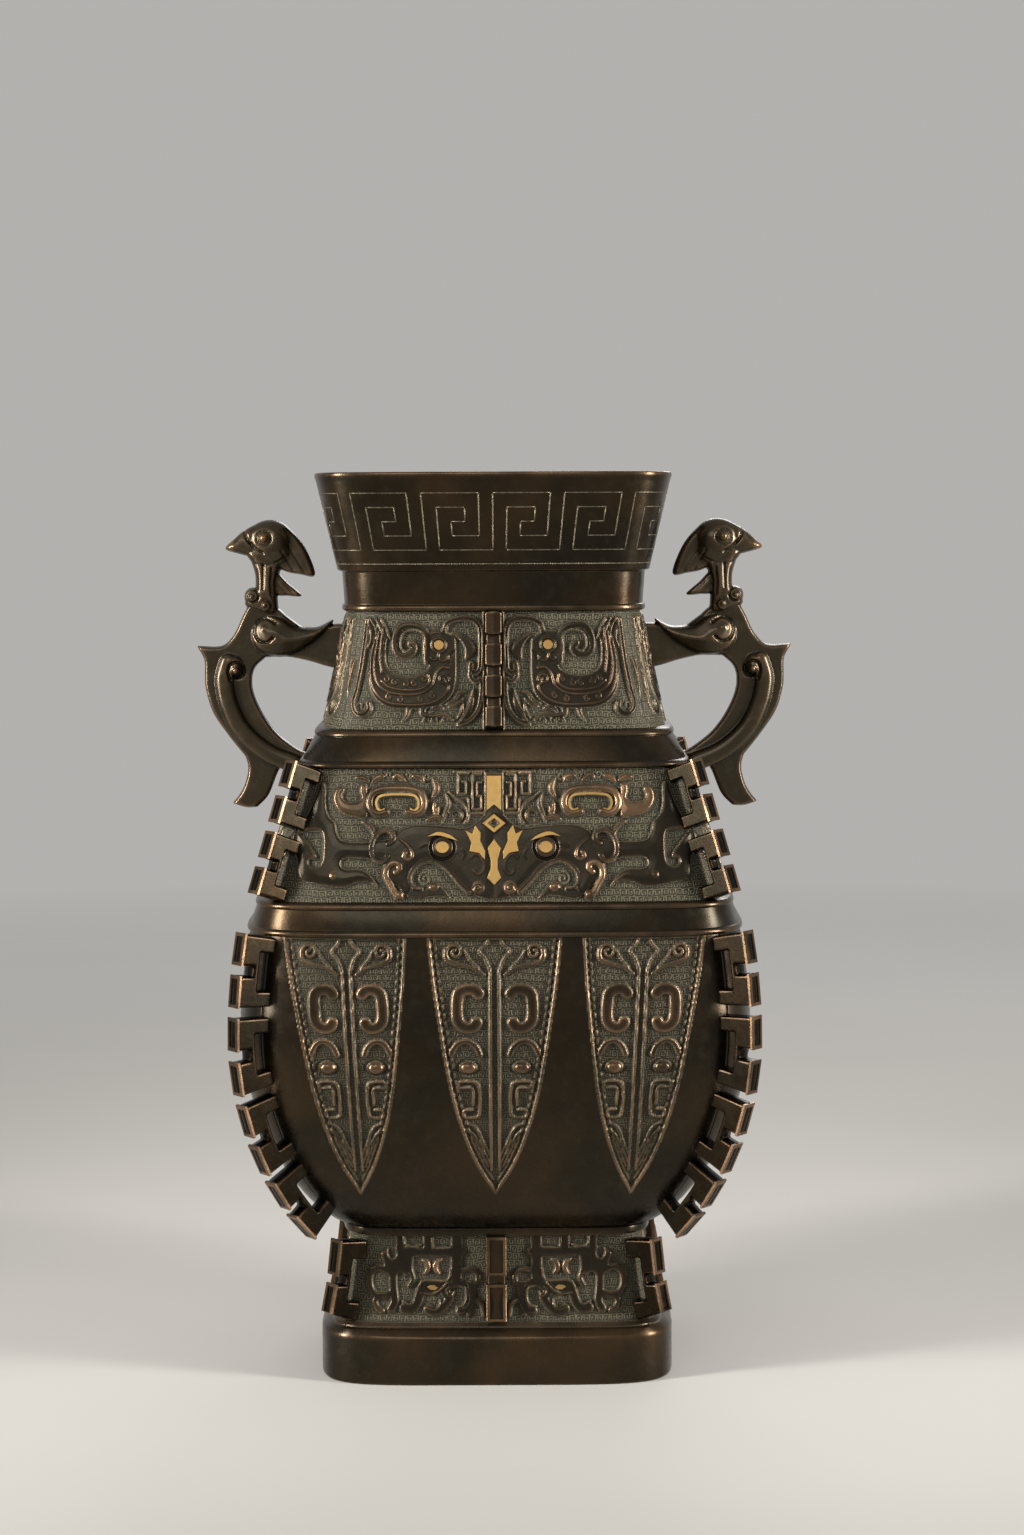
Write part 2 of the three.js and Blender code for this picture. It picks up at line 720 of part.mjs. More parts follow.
/** A thin plate that follows the front face between two depths below its surface. */
function facePlate(points, outer, inner) {
  const contour = points.map(([x, z]) => new THREE.Vector2(x, z));
  if (THREE.ShapeUtils.area(contour) < 0) contour.reverse();
  const triangles = THREE.ShapeUtils.triangulateShape(contour, []);
  const count = contour.length;
  const vertices = [];
  contour.forEach((p) => vertices.push(new THREE.Vector3(p.x, faceY(p.x, p.y) - outer, p.y)));
  contour.forEach((p) => vertices.push(new THREE.Vector3(p.x, faceY(p.x, p.y) + inner, p.y)));
  const index = [];
  triangles.forEach(([a, b, c]) => index.push(a, b, c, count + a, count + c, count + b));
  for (let i = 0; i < count; i += 1) {
    const j = (i + 1) % count;
    index.push(i, count + i, count + j, i, count + j, j);
  }
  const geometry = new THREE.BufferGeometry().setFromPoints(vertices);
  geometry.setIndex(index);
  geometry.computeVertexNormals();
  return geometry;
}

/** The same plate on the back of the vessel. */
function turnedToBack(geometry) {
  return geometry.clone().rotateZ(Math.PI);
}

/** Round eyes set in the neck panels and leaf-shaped eyes in the foot panels. */
function eyeOutlines() {
  const birdEye = { x: birdEyeOut, z: neckTop - birdEyeDrop, rx: birdEyeRadius, rz: birdEyeRadius };
  const dragonEyeHeight = ledgeHeight + dragonEyeRise;
  const dragonEye = { x: dragonEyeOut, z: dragonEyeHeight, rx: dragonEyeHalf, rz: dragonEyeHalf / 2 };
  const named = { bird_eye: birdEye, dragon_eye: dragonEye };
  return Object.entries(named).map(([name, e]) => ({
    name,
    mirror: true,
    points: [...Array(8).keys()].map((i) => {
      const angle = ((i + 0.5) / 8) * 2 * Math.PI;
      return [e.x + e.rx * Math.cos(angle), e.z + e.rz * Math.sin(angle)];
    }),
  }));
}

/** All the gold on the front face, each piece with its plate and its pocket. */
function goldPieces() {
  const pieces = [];
  for (const { name, points, mirror } of [...goldOutlines(), ...eyeOutlines()]) {
    const plate = facePlate(points, goldProud, goldThickness - goldProud);
    const pocket = facePlate(grown(points, gap), goldProud + wall / 2, goldThickness - goldProud + gap);
    if (mirror) {
      pieces.push({ name: `${name}_right`, plate, pocket });
      pieces.push({ name: `${name}_left`, plate: mirrored(plate), pocket: mirrored(pocket) });
    } else {
      pieces.push({ name, plate, pocket });
    }
  }
  return pieces;
}

// Main figures of the relief, as outlines of [across, up] from a place on the right half of a face.

// The figures are drawn for bands of these heights, and take their size from them.
const drawnNeckRise = 59.4;
const drawnFootRise = 44.3;
const neckScale = neckPanelRise / drawnNeckRise;
const footScale = footPanelRise / drawnFootRise;

/** Outlines set at a place of a face and scaled, with their twins on the left. */
function onBothHalves(outlines, [x, z], scale) {
  const right = outlines.map((points) => points.map(([dx, dz]) => [x + dx * scale, z + dz * scale]));
  return [...right, ...right.map((points) => points.map(([px, pz]) => [-px, pz]))];
}

/** A rectangle between two heights, as wide to the left as to the right. */
function uprightStrip(half, low, high) {
  return [[-half, low], [half, low], [half, high], [-half, high]];
}

/** Face, body and horn of the mask, round the gold's centre; a narrow face goes without the horn. */
function maskFigures(narrow) {
  const face = [
    [-1, 24.3], [4.7, 24.3], [4.7, 6.5], [14, -0.6], [40, -0.2], [48, -7.5], [59, -8.5], [60, -15.9],
    [51.5, -19], [42, -32.9], [38, -18.5], [21.6, -20.9], [10, -33], [-1, -33],
  ];
  const body = [
    [56, -8.5], [70.6, -8.1], [79.8, 9.5], [81.4, 19], [91, 1.5], [97, -5], [92.8, -25.3],
    [54.6, -29.5], [71, -20.4], [70, -15.7], [57, -15.9],
  ];
  const horn = [[30, 2.4], [31, 18.5], [45.6, 20.9], [60, 17], [76, 12.5], [72, 5], [57, 1.1]];
  return onBothHalves(narrow ? [face, body] : [face, body, horn], [0, maskCentre], goldScale);
}

/** Head, body and tail of the neck bird, round its eye. */
function birdFigures() {
  const body = [
    [-8, 4.5], [-8.2, -12.9], [-2, -27.3], [13, -30.1], [29.5, -26.4], [34.3, -12.9], [28, 12.1],
    [25.4, -7.9], [20, -13.5], [10, -13.5], [5.4, -7.9], [5.4, 5],
  ];
  return onBothHalves([body], [birdEyeOut, neckTop - birdEyeDrop], neckScale);
}

/** Body, crest, back and jaw of the foot dragon, round its eye; a narrow face has the body alone. */
function dragonFigures(narrow) {
  const crest = ribbon([[-11, 26], [-11, 3]], 5.6);
  const back = ribbon([[-13.5, 17], [20, 17.6]], 4.8);
  const body = [[11, 16], [25.5, 16.8], [21.6, -10], [17.4, -10], [17.4, 6], [11, 10.2]];
  const jaw = [[-14, 4], [7.5, 3], [7, -2.8], [-3, -3.4], [3, -12], [-8, -8]];
  const outlines = narrow ? [body] : [body, crest, back, jaw];
  return onBothHalves(outlines, [dragonEyeOut, ledgeHeight + dragonEyeRise], footScale);
}

const bladeTop = bandBottom - ridgeHalfWidth;
const bladeLength = (bellyRise + bladeRise) * bladeLengthShare;

/** A hanging blade's outline and its two main figures; the tip leans towards the middle of the face. */
function blade(centre, widthShare) {
  const taper = [[0, 1], [0.4, 0.8], [0.8, 0.42]];
  const figure = [[0.21, 0.17], [0.64, 0.17], [0.64, 0.35], [0.26, 0.35]];
  const at = (side, width, share) => {
    const lean = Math.sign(centre) * bladeLean * share;
    return [centre - lean + side * width * bladeHalf * widthShare, bladeTop - share * bladeLength];
  };
  const right = taper.map(([share, width]) => at(1, width, share));
  const left = taper.map(([share, width]) => at(-1, width, share)).reverse();
  const figures = [1, -1].map((side) => figure.map(([width, share]) => at(side, width, share)));
  return { outline: [...right, at(1, 0, 1), ...left], figures };
}

/** The blades of one face: three on a broad face, two on a narrow one. */
function bladesOf(narrow) {
  if (narrow) return [blade(-sideBladeSpacing, 1), blade(sideBladeSpacing, 1)];
  return [blade(-bladeSpacing, sideBladeShare), blade(0, 1), blade(bladeSpacing, sideBladeShare)];
}

/** Prisms through one face, from outlines in its plane. */
function facePrisms(outlines, { turn, narrow }, half) {
  const root = half * prismRootShare * (narrow ? 1 : depthRatio);
  return outlines.map((points) => {
    const shape = new THREE.Shape(points.map(([x, z]) => new THREE.Vector2(x, z)));
    const geometry = new THREE.ExtrudeGeometry(shape, { depth: bellyHalf, bevelEnabled: false });
    geometry.translate(0, 0, root);
    geometry.rotateX(Math.PI / 2);
    geometry.rotateZ(turn);
    return solidOf(geometry);
  });
}

/** Solids joined into one. */
function joined(solids) {
  return solids.reduce((all, solid) => all.add(solid));
}

/** Upright slabs under the corner flanges, which the figures leave free. */
function cornerSlabs() {
  const width = flangeThickness + 2 * figureMargin;
  return [1, -1].map((side) => {
    const geometry = new THREE.BoxGeometry(4 * bellyHalf, width, 2 * rimHeight);
    geometry.rotateZ(side * Math.atan2(depthRatio, 1));
    return solidOf(geometry);
  });
}

const vesselFaces = [
  { turn: 0, narrow: false },
  { turn: Math.PI / 2, narrow: true },
  { turn: Math.PI, narrow: false },
  { turn: -Math.PI / 2, narrow: true },
];

/** Outlines drawn for a broad face, drawn in across for a narrow one. */
function fitted(outlines, narrow) {
  return narrow ? outlines.map((points) => points.map(([x, z]) => [x * depthRatio, z])) : outlines;
}

/** The vessel with the grounds of its relief cut round the main figures. */
function carved(vessel) {
  const strips = {
    foot: { broad: [], narrow: [] },
    mask: { broad: [], narrow: [uprightStrip(rootStripHalf, maskCentre, shoulderHeight)] },
    neck: { broad: [], narrow: [uprightStrip(rootStripHalf, neckBottom, neckTop)] },
  };
  const flangeWidths = { foot: footCentreFlangeWidth, mask: 0, neck: neckFlangeWidth };
  const figures = { foot: dragonFigures, mask: maskFigures, neck: birdFigures };
  let solid = vessel;
  for (const [name, zone] of Object.entries(zones)) {
    const half = sectionAt(zone.high).half;
    let raised = joined(vesselFaces.flatMap((face) => (
      facePrisms(fitted(figures[name](face.narrow), face.narrow), face, half)
    )));
    cornerSlabs().forEach((slab) => { raised = raised.subtract(slab); });
    if (flangeWidths[name]) {
      const free = uprightStrip(flangeWidths[name] / 2 + figureMargin, zone.low - gap, zone.high + gap);
      vesselFaces.forEach((face) => { raised = raised.subtract(facePrisms([free], face, half)[0]); });
    }
    const added = vesselFaces.flatMap((face) => (
      facePrisms(face.narrow ? strips[name].narrow : strips[name].broad, face, half)
    ));
    raised = joined([raised, ...added]);
    solid = solid.subtract(groundRing(zone).subtract(raised));
  }
  const belly = { low: bladeTop - bladeLength, high: bladeTop };
  const half = sectionAt(belly.low).half;
  for (const face of vesselFaces) {
    const blades = bladesOf(face.narrow);
    const outlines = joined(facePrisms(blades.map((b) => b.outline), face, half));
    const raised = facePrisms(blades.flatMap((b) => b.figures), face, half);
    let ground = groundRing(belly).intersect(outlines);
    raised.forEach((figure) => { ground = ground.subtract(figure); });
    solid = solid.subtract(ground);
  }
  return solid;
}

// Silver wire: one line that keeps turning round the collar.

/** Perimeter of a level section as points with their distance along it. */
function perimeter(l, count = 720) {
  const points = [];
  let length = 0;
  let previous = null;
  for (let i = 0; i <= count; i += 1) {
    const angle = (i / count) * 2 * Math.PI - Math.PI / 2;
    const c = Math.cos(angle);
    const s = Math.sin(angle);
    const direction = new THREE.Vector2(c, s * depthRatio).normalize();
    const distance = surfaceDistance(l.z, direction);
    const point = direction.multiplyScalar(distance);
    if (previous) length += point.distanceTo(previous);
    points.push({ point, length });
    previous = point;
  }
  return points;
}

const fretTop = rimHeight - fretTopMargin;
const fretMiddle = sectionAt(fretTop - fretHeight / 2);
const fretLine = perimeter(fretMiddle);
const fretLength = fretLine[fretLine.length - 1].length;
const fretUnit = fretLength / fretUnits;

/** The level direction at a distance round the collar. */
function fretDirection(along) {
  const s = ((along % fretLength) + fretLength) % fretLength;
  let i = 1;
  while (i < fretLine.length - 1 && fretLine[i].length < s) i += 1;
  const a = fretLine[i - 1];
  const b = fretLine[i];
  const t = (s - a.length) / (b.length - a.length);
  return a.point.clone().lerp(b.point, t).normalize();
}

/** A point on the collar's surface, raised off it. */
function collarPoint(along, z, raise) {
  const direction = fretDirection(along);
  const distance = surfaceDistance(z, direction) + raise;
  return new THREE.Vector3(direction.x * distance, direction.y * distance, z);
}

/** The corners of the fret's line all the way round, as [distance, height]. */
function fretCorners() {
  const step = fretHeight / 4;
  const w = fretUnit / 5;
  const unit = [
    [0, 0], [4 * w, 0], [4 * w, 3 * step], [2 * w, 3 * step], [2 * w, 2 * step], [3 * w, 2 * step],
    [3 * w, step], [w, step], [w, 4 * step], [5 * w, 4 * step],
  ];
  const corners = [];
  for (let i = 0; i < fretUnits; i += 1) {
    unit.forEach(([x, down]) => corners.push([i * fretUnit + x, fretTop - down]));
  }
  return corners;
}

/** Points from one corner to the next, close enough to hug the collar where it turns. */
function hugCollar(from, to) {
  const a = collarPoint(from[0], from[1], 0);
  const b = collarPoint(to[0], to[1], 0);
  const middle = [(from[0] + to[0]) / 2, (from[1] + to[1]) / 2];
  const onSurface = collarPoint(middle[0], middle[1], 0);
  const stray = onSurface.distanceTo(a.lerp(b, 0.5));
  if (stray < gap / 4) return [from];
  return [...hugCollar(from, middle), ...hugCollar(middle, to)];
}

/** A closed wire of square section along corners round the collar. */
function wireLoop(corners) {
  const path = corners.flatMap((corner, i) => {
    const last = i === corners.length - 1;
    const next = last ? [fretLength, corners[0][1]] : corners[i + 1];
    return hugCollar(corner, next);
  });
  const rings = path.map((p, i) => {
    const before = path[(i + path.length - 1) % path.length];
    const after = path[(i + 1) % path.length];
    const wrap = (d) => d - fretLength * Math.round(d / fretLength);
    const a = new THREE.Vector2(wrap(p[0] - before[0]), p[1] - before[1]).normalize();
    const b = new THREE.Vector2(wrap(after[0] - p[0]), after[1] - p[1]).normalize();
    const side = new THREE.Vector2(-a.y - b.y, a.x + b.x).normalize();
    const mitre = wireWidth / 2 / Math.max(side.y * a.x - side.x * a.y, 0.5);
    const section = [[-1, gap], [1, gap], [1, gap + wireThickness], [-1, gap + wireThickness]];
    const across = side.multiplyScalar(mitre);
    return section.map(([s, raise]) => collarPoint(p[0] + across.x * s, p[1] + across.y * s, raise));
  });
  return loft(rings, true);
}

// The vase is put together here.

const goldFront = goldPieces();
const handle = handleSolid();
let vessel = carved(vesselShell());
for (const { pocket } of goldFront) {
  vessel = vessel.subtract(solidOf(pocket)).subtract(solidOf(turnedToBack(pocket)));
}
for (const z of [upperTenonHeight, lowerTenonHeight]) {
  const socket = tenon(z, gap);
  vessel = vessel.subtract(socket).subtract(solidOf(mirrored(geometryOf(socket))));
}
addPiece('vessel_body', geometryOf(vessel), bronze);
addPiece('floor_plate', floorPlate(), bronze);

const handleGeometry = geometryOf(handle);
addPiece('handle_right', handleGeometry, bronze);
addPiece('handle_left', mirrored(handleGeometry), bronze);
for (const [face, side] of [['front', 1], ['back', -1]]) {
  addPiece(`handle_eye_right_${face}`, eyeStud(side, 0), gold);
  addPiece(`handle_eye_left_${face}`, mirrored(eyeStud(side, 0)), gold);
}

const diagonal = new THREE.Vector2(1, depthRatio).normalize();
const corners = [['front_right', 1, -1], ['front_left', -1, -1], ['back_right', 1, 1], ['back_left', -1, 1]];
for (const [corner, x, y] of corners) {
  const direction = new THREE.Vector2(diagonal.x * x, diagonal.y * y);
  const below = ridgeHalfWidth + gap;
  addPiece(`shoulder_flange_${corner}`, toothedFlange({
    direction,
    highest: shoulderHeight - below,
    lowest: bandTop + below,
    pairs: 2,
    reach: upperFlangeReach,
  }), bronze);
  addPiece(`belly_flange_${corner}`, toothedFlange({
    direction,
    highest: bandBottom - below,
    lowest: footRing.z + bellyFlangeRise,
    pairs: 4,
    reach: lowerFlangeReach,
  }), bronze);
  addPiece(`foot_flange_${corner}`, toothedFlange({
    direction,
    highest: footHeight - flangeMargin,
    lowest: ledge.z + flangeMargin,
    pairs: 1,
    reach: footFlangeReach,
  }), bronze);
}

for (const [face, y] of [['front', -1], ['back', 1]]) {
  const direction = new THREE.Vector2(0, y);
  addPiece(`neck_flange_${face}`, blockFlange({
    direction,
    highest: neckTop - ridgeHalfWidth - gap,
    lowest: neckBottom + ridgeHalfWidth + gap,
    blocks: 4,
    reach: neckFlangeReach,
    width: neckFlangeWidth,
  }), bronze);
}
for (const [face, x, y] of [['front', 0, -1], ['back', 0, 1], ['right', 1, 0], ['left', -1, 0]]) {
  addPiece(`foot_centre_flange_${face}`, blockFlange({
    direction: new THREE.Vector2(x, y),
    highest: footHeight - gap,
    lowest: ledge.z + flangeMargin,
    blocks: 2,
    reach: footCentreFlangeReach,
    width: footCentreFlangeWidth,
  }), copper);
}

for (const { name, plate } of goldFront) {
  addPiece(`${name}_front`, plate, gold);
  addPiece(`${name}_back`, turnedToBack(plate), gold);
}

addPiece('silver_fret', wireLoop(fretCorners()), silver);

export default group;
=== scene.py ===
"""The looks of the bronze hu vase: its cast relief, handles, inlay and patina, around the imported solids."""
import math

import bpy
import numpy as np
import openvdb as vdb
from mathutils import Matrix, Vector
from mathutils.geometry import tessellate_polygon


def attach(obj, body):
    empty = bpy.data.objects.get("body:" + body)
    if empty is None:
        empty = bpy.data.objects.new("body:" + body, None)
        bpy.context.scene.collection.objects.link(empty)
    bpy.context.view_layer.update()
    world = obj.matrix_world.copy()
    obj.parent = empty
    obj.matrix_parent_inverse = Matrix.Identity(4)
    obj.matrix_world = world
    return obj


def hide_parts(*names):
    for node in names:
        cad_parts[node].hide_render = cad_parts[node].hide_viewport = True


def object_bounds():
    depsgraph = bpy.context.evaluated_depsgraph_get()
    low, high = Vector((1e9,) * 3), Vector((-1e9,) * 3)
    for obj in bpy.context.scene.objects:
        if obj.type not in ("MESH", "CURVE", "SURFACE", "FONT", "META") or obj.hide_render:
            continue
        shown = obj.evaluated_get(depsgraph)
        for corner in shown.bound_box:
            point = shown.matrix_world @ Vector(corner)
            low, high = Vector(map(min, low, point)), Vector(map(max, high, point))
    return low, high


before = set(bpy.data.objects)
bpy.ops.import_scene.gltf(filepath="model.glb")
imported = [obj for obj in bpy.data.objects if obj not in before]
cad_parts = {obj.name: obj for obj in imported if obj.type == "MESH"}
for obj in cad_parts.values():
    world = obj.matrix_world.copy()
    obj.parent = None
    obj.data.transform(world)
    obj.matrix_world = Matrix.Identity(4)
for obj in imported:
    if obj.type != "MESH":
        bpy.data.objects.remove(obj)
cad_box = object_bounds()

# One millimetre of the drawing in the frame's metres: the drawing is 440 high.
drawn_height = 440.0
MM = (cad_box[1][2] - cad_box[0][2]) / drawn_height

# Heights and half widths of the level sections, in millimetres.
base_height, base_half, base_square = 23.3, 86.6, 5.6
ledge_height, ledge_inset = 27.2, 5.0
foot_height, foot_half, foot_square = 71.5, 73.0, 7.4
ring_height, ring_step = 75.5, 2.4
belly_height, belly_half, belly_square = 172.0, 123.6, 6.0
band_bottom, band_bottom_half = 223.3, 118.8
band_top, band_top_half, mask_square = 236.0, 114.2, 7.2
shoulder_height, shoulder_half = 301.5, 93.6
neck_bottom, neck_bottom_half, neck_square = 316.0, 86.3, 5.4
neck_top, neck_top_half = 375.4, 72.8
collar_height, collar_half, collar_step = 393.0, 73.8, 2.2
rim_height, rim_half = 440.0, 86.8
depth_ratio = 0.78
wall, rim_wall = 4.0, 3.4

# Relief, measured from the plain surface: the ground lies below it and the tops of the figures near it.
ground_depth = 1.7
slab_back = 3.3
core_inset = 2.8

# Spacing of the drawings' heights, of the slabs' meshes, and how many of their steps the backs skip.
pixel = 0.2
grid_step, blade_grid_step = 0.42, 0.62
back_skip = 8

# How near to the middle a mirrored drawing is read, and how far slabs stop short of the raised wires.
middle_gap, seam = 0.7, 0.8

# How a drawing's edges slope, round over and crown.
edge_run, edge_fall, edge_margin = 0.35, 0.9, 0.6
crown_run, outside_slope = 4.0, 1.2
shallow = 0.02


# Lines and curves.

def smooth(points, step=0.8):
    """A rounded line through points, as closely spaced points."""
    points = np.array(points, float)
    closed = np.allclose(points[0], points[-1]) and len(points) > 3
    before = points[-2] if closed else 2 * points[0] - points[1]
    after = points[1] if closed else 2 * points[-1] - points[-2]
    knots = np.vstack([before, points, after])
    out = []
    for a, b, c, d in zip(knots[:-3], knots[1:-2], knots[2:-1], knots[3:]):
        count = max(2, int(np.linalg.norm(c - b) / step))
        t = np.linspace(0, 1, count, endpoint=False)[:, None]
        bend, twist = 2 * a - 5 * b + 4 * c - d, 3 * b - a - 3 * c + d
        out.append(0.5 * (2 * b + (c - a) * t + bend * t ** 2 + twist * t ** 3))
    out.append(knots[-2][None, :])
    return np.vstack(out)


def arc(centre, radius, start, end, squash=1.0, step=12):
    """Points on an arc, with its angles in degrees."""
    count = max(2, int(abs(end - start) / step) + 1)
    angles = np.radians(np.linspace(start, end, count))
    return [(centre[0] + radius * math.cos(a), centre[1] + radius * squash * math.sin(a)) for a in angles]


def curl(centre, outer, inner, start, turns):
    """Points on a spiral from its outer end inwards; turns below 0 go clockwise."""
    share = np.linspace(0, 1, max(6, int(abs(turns) * 20)))
    angles = np.radians(start) + share * turns * 2 * math.pi
    radius = outer + (inner - outer) * share
    return np.column_stack([centre[0] + radius * np.cos(angles), centre[1] + radius * np.sin(angles)])


def lengths_along(x, y):
    """How far along a line of points each of them lies."""
    return np.concatenate([[0], np.cumsum(np.hypot(np.diff(x), np.diff(y)))])


def quarter_round(away, run):
    """Rises in a quarter circle from 0 at an edge to 1 at a run from it."""
    edge = np.clip(away / run, 0, 1)
    return np.sqrt(np.clip(1 - (1 - edge) ** 2, 0, 1))


def steps_near(values, start, reach):
    """The steps of a drawing, counted from its start, that lie within reach of some values."""
    first = int((min(values) - reach - start) / pixel)
    last = int((max(values) + reach - start) / pixel) + 2
    return slice(max(first, 0), max(last, 0))


class Relief:
    """A drawing in heights over the plane of a face: across and up, in millimetres."""

    def __init__(self, left, right, low, high, level):
        self.left, self.low = left, low
        columns = int(round((right - left) / pixel)) + 1
        rows = int(round((high - low) / pixel)) + 1
        self.x = left + np.arange(columns) * pixel
        self.z = low + np.arange(rows) * pixel
        self.height = np.full((rows, columns), float(level))
        self.figure = np.zeros((rows, columns))
        self.copper = np.zeros((rows, columns))
        self.panel = np.ones((rows, columns))

    def window(self, points, reach):
        """The part of the drawing within reach of some points, with its own coordinates."""
        points = np.asarray(points)
        rows = steps_near(points[:, 1], self.low, reach)
        columns = steps_near(points[:, 0], self.left, reach)
        grid_x, grid_z = np.meshgrid(self.x[columns], self.z[rows])
        return (rows, columns), grid_x, grid_z

    def distance(self, points, reach):
        """Distance to a line of points, and how far along it, from 0 to 1, inside a window."""
        points = np.asarray(points, float)
        window, grid_x, grid_z = self.window(points, reach)
        nearest = np.full(grid_x.shape, 1e6)
        along = np.zeros(grid_x.shape)
        if not grid_x.size:
            return window, nearest, along
        lengths = np.linalg.norm(np.diff(points, axis=0), axis=1)
        total = max(lengths.sum(), 1e-9)
        run = 0.0
        for start, end, length in zip(points[:-1], points[1:], lengths):
            if length < 1e-9:
                continue
            part = (steps_near((start[1], end[1]), grid_z[0, 0], reach),
                    steps_near((start[0], end[0]), grid_x[0, 0], reach))
            past_x, past_z = grid_x[part] - start[0], grid_z[part] - start[1]
            heading = (end - start) / length
            gone = np.clip(past_x * heading[0] + past_z * heading[1], 0, length)
            away = np.hypot(past_x - heading[0] * gone, past_z - heading[1] * gone)
            nearer = away < nearest[part]
            nearest[part][nearer] = away[nearer]
            along[part][nearer] = (run + gone[nearer]) / total
            run += length
        return window, nearest, along

    def inside(self, outline, grid_x, grid_z):
        """Whether each point of a window lies inside an outline."""
        hit = np.zeros(grid_x.shape, bool)
        for (ax, az), (bx, bz) in zip(outline, np.roll(outline, -1, axis=0)):
            if az == bz:
                continue
            crosses = (az > grid_z) != (bz > grid_z)
            hit ^= crosses & (grid_x < ax + (grid_z - az) * (bx - ax) / (bz - az))
        return hit

    def outlined(self, outline, reach):
        """Distance to a closed outline, and whether each point lies inside it, in a window."""
        outline = np.asarray(outline, float)
        ring = np.vstack([outline, outline[:1]])
        window, away, _ = self.distance(ring, reach)
        _, grid_x, grid_z = self.window(ring, reach)
        return window, away, self.inside(outline, grid_x, grid_z)

    def lift(self, window, shape, share, copper):
        """Raises a window to a shape where share is above 0."""
        old = self.height[window]
        self.height[window] = np.where(share > 0, np.maximum(old, shape), old)
        self.figure[window] = np.maximum(self.figure[window], np.clip(share, 0, 1))
        if copper:
            self.copper[window] = np.maximum(self.copper[window], copper * np.clip(share, 0, 1))

    def swept(self, points, half, width_share, top, drop, copper):
        """A band along a line, as wide at each place as its share says, that drops towards its sides."""
        window, away, along = self.distance(points, half + edge_margin)
        wide = half * width_share(along)
        edge = np.clip((wide - away) / edge_run, 0, 1)
        shape = top - drop * np.clip(away / np.maximum(wide, 0.05), 0, 1) ** 2 - (1 - edge) * edge_fall
        self.lift(window, shape, np.where(away < wide, np.maximum(edge, shallow), 0), copper)

    def ridge(self, points, width, top, taper=(1.0, 1.0), drop=0.35, copper=0.0):
        """A band along a line, its top a little round; taper scales its width at the start and the end."""
        def widths(along):
            return taper[0] + (taper[1] - taper[0]) * along

        self.swept(points, width / 2, widths, top, drop, copper)

    def leaf(self, points, width, top, copper=0.0, power=0.5):
        """A band that swells in its middle and comes to a point at both ends."""
        def swell(along):
            return np.sin(np.pi * np.clip(along, 0.001, 0.999)) ** power

        self.swept(points, width / 2, swell, top, 0.5, copper)

    def groove(self, points, width, depth):
        """A round-bottomed groove along a line."""
        half = width / 2
        window, away, _ = self.distance(points, half + 0.4)
        cut = depth * np.clip(1 - (away / half) ** 2, 0, 1)
        self.height[window] -= cut
        self.copper[window] *= 1 - np.clip(cut / depth, 0, 1)

    def plate(self, outline, top, bevel=0.7, crown=0.0, copper=0.0):
        """A raised area with rounded edges, higher in its middle by the crown."""
        window, away, hit = self.outlined(outline, crown_run)
        rise = quarter_round(away, bevel)
        shape = top - edge_fall * (1 - rise) + crown * np.clip(away / crown_run, 0, 1)
        self.lift(window, shape, np.where(hit, np.maximum(np.clip(away / 0.3, 0, 1), shallow), 0), copper)

    def sink(self, outline, level, bevel=0.5):
        """A flat-bottomed recess with sloping sides."""
        window, away, hit = self.outlined(outline, crown_run)
        share = np.where(hit, np.clip(away / bevel, 0, 1), 0)
        old = self.height[window]
        self.height[window] = old + (np.minimum(old, level) - old) * share
        self.figure[window] *= 1 - share

    def dome(self, centre, across, up, top, rise, copper=0.0):
        """A round or oval stud, from its half widths across and up."""
        window, grid_x, grid_z = self.window([centre], max(across, up) + 0.4)
        share = np.hypot((grid_x - centre[0]) / across, (grid_z - centre[1]) / up)
        shape = top - rise * (1 - np.sqrt(np.clip(1 - share ** 2, 0, 1)))
        self.lift(window, shape, np.where(share < 1, 1.0, 0), copper)

    def solid(self, outline, half, bevel, crown=0.0):
        """A slab with rounded edges, drawn as half its thickness, which falls below 0 outside it."""
        window, away, hit = self.outlined(outline, 9.0)
        shape = half * quarter_round(away, bevel) + crown * np.clip(away / 8, 0, 1)
        self.height[window] = np.maximum(self.height[window], np.where(hit, shape, -outside_slope * away))

    def rib(self, points, width, half, taper, base):
        """A round rib along a line, drawn as half its thickness, over a plate of half thickness base."""
        window, away, along = self.distance(points, width / 2 + 1.5)
        wide = width / 2 * (taper[0] + (taper[1] - taper[0]) * along)
        shape = base + (half - base) * np.sqrt(np.clip(1 - (away / wide) ** 2, 0, 1))
        shape = np.where(away < wide, shape, -outside_slope * (away - wide))
        self.height[window] = np.maximum(self.height[window], shape)

    def lump(self, centre, across, up, half):
        """A rounded lump, drawn as half its thickness."""
        window, grid_x, grid_z = self.window([centre], max(across, up) + 2)
        share = np.hypot((grid_x - centre[0]) / across, (grid_z - centre[1]) / up)
        shape = half * np.sqrt(np.clip(1 - share ** 2, 0, 1))
        shape -= outside_slope * np.clip(share - 1, 0, 9) * min(across, up)
        self.height[window] = np.maximum(self.height[window], shape)

    def soften(self, share=0.5):
        """Evens out single steps, as casting wax does."""
        edged = np.pad(self.height, 1, mode="edge")
        mean = (edged[:-2, 1:-1] + edged[2:, 1:-1] + edged[1:-1, :-2] + edged[1:-1, 2:]) / 4
        self.height = self.height + (mean - self.height) * share

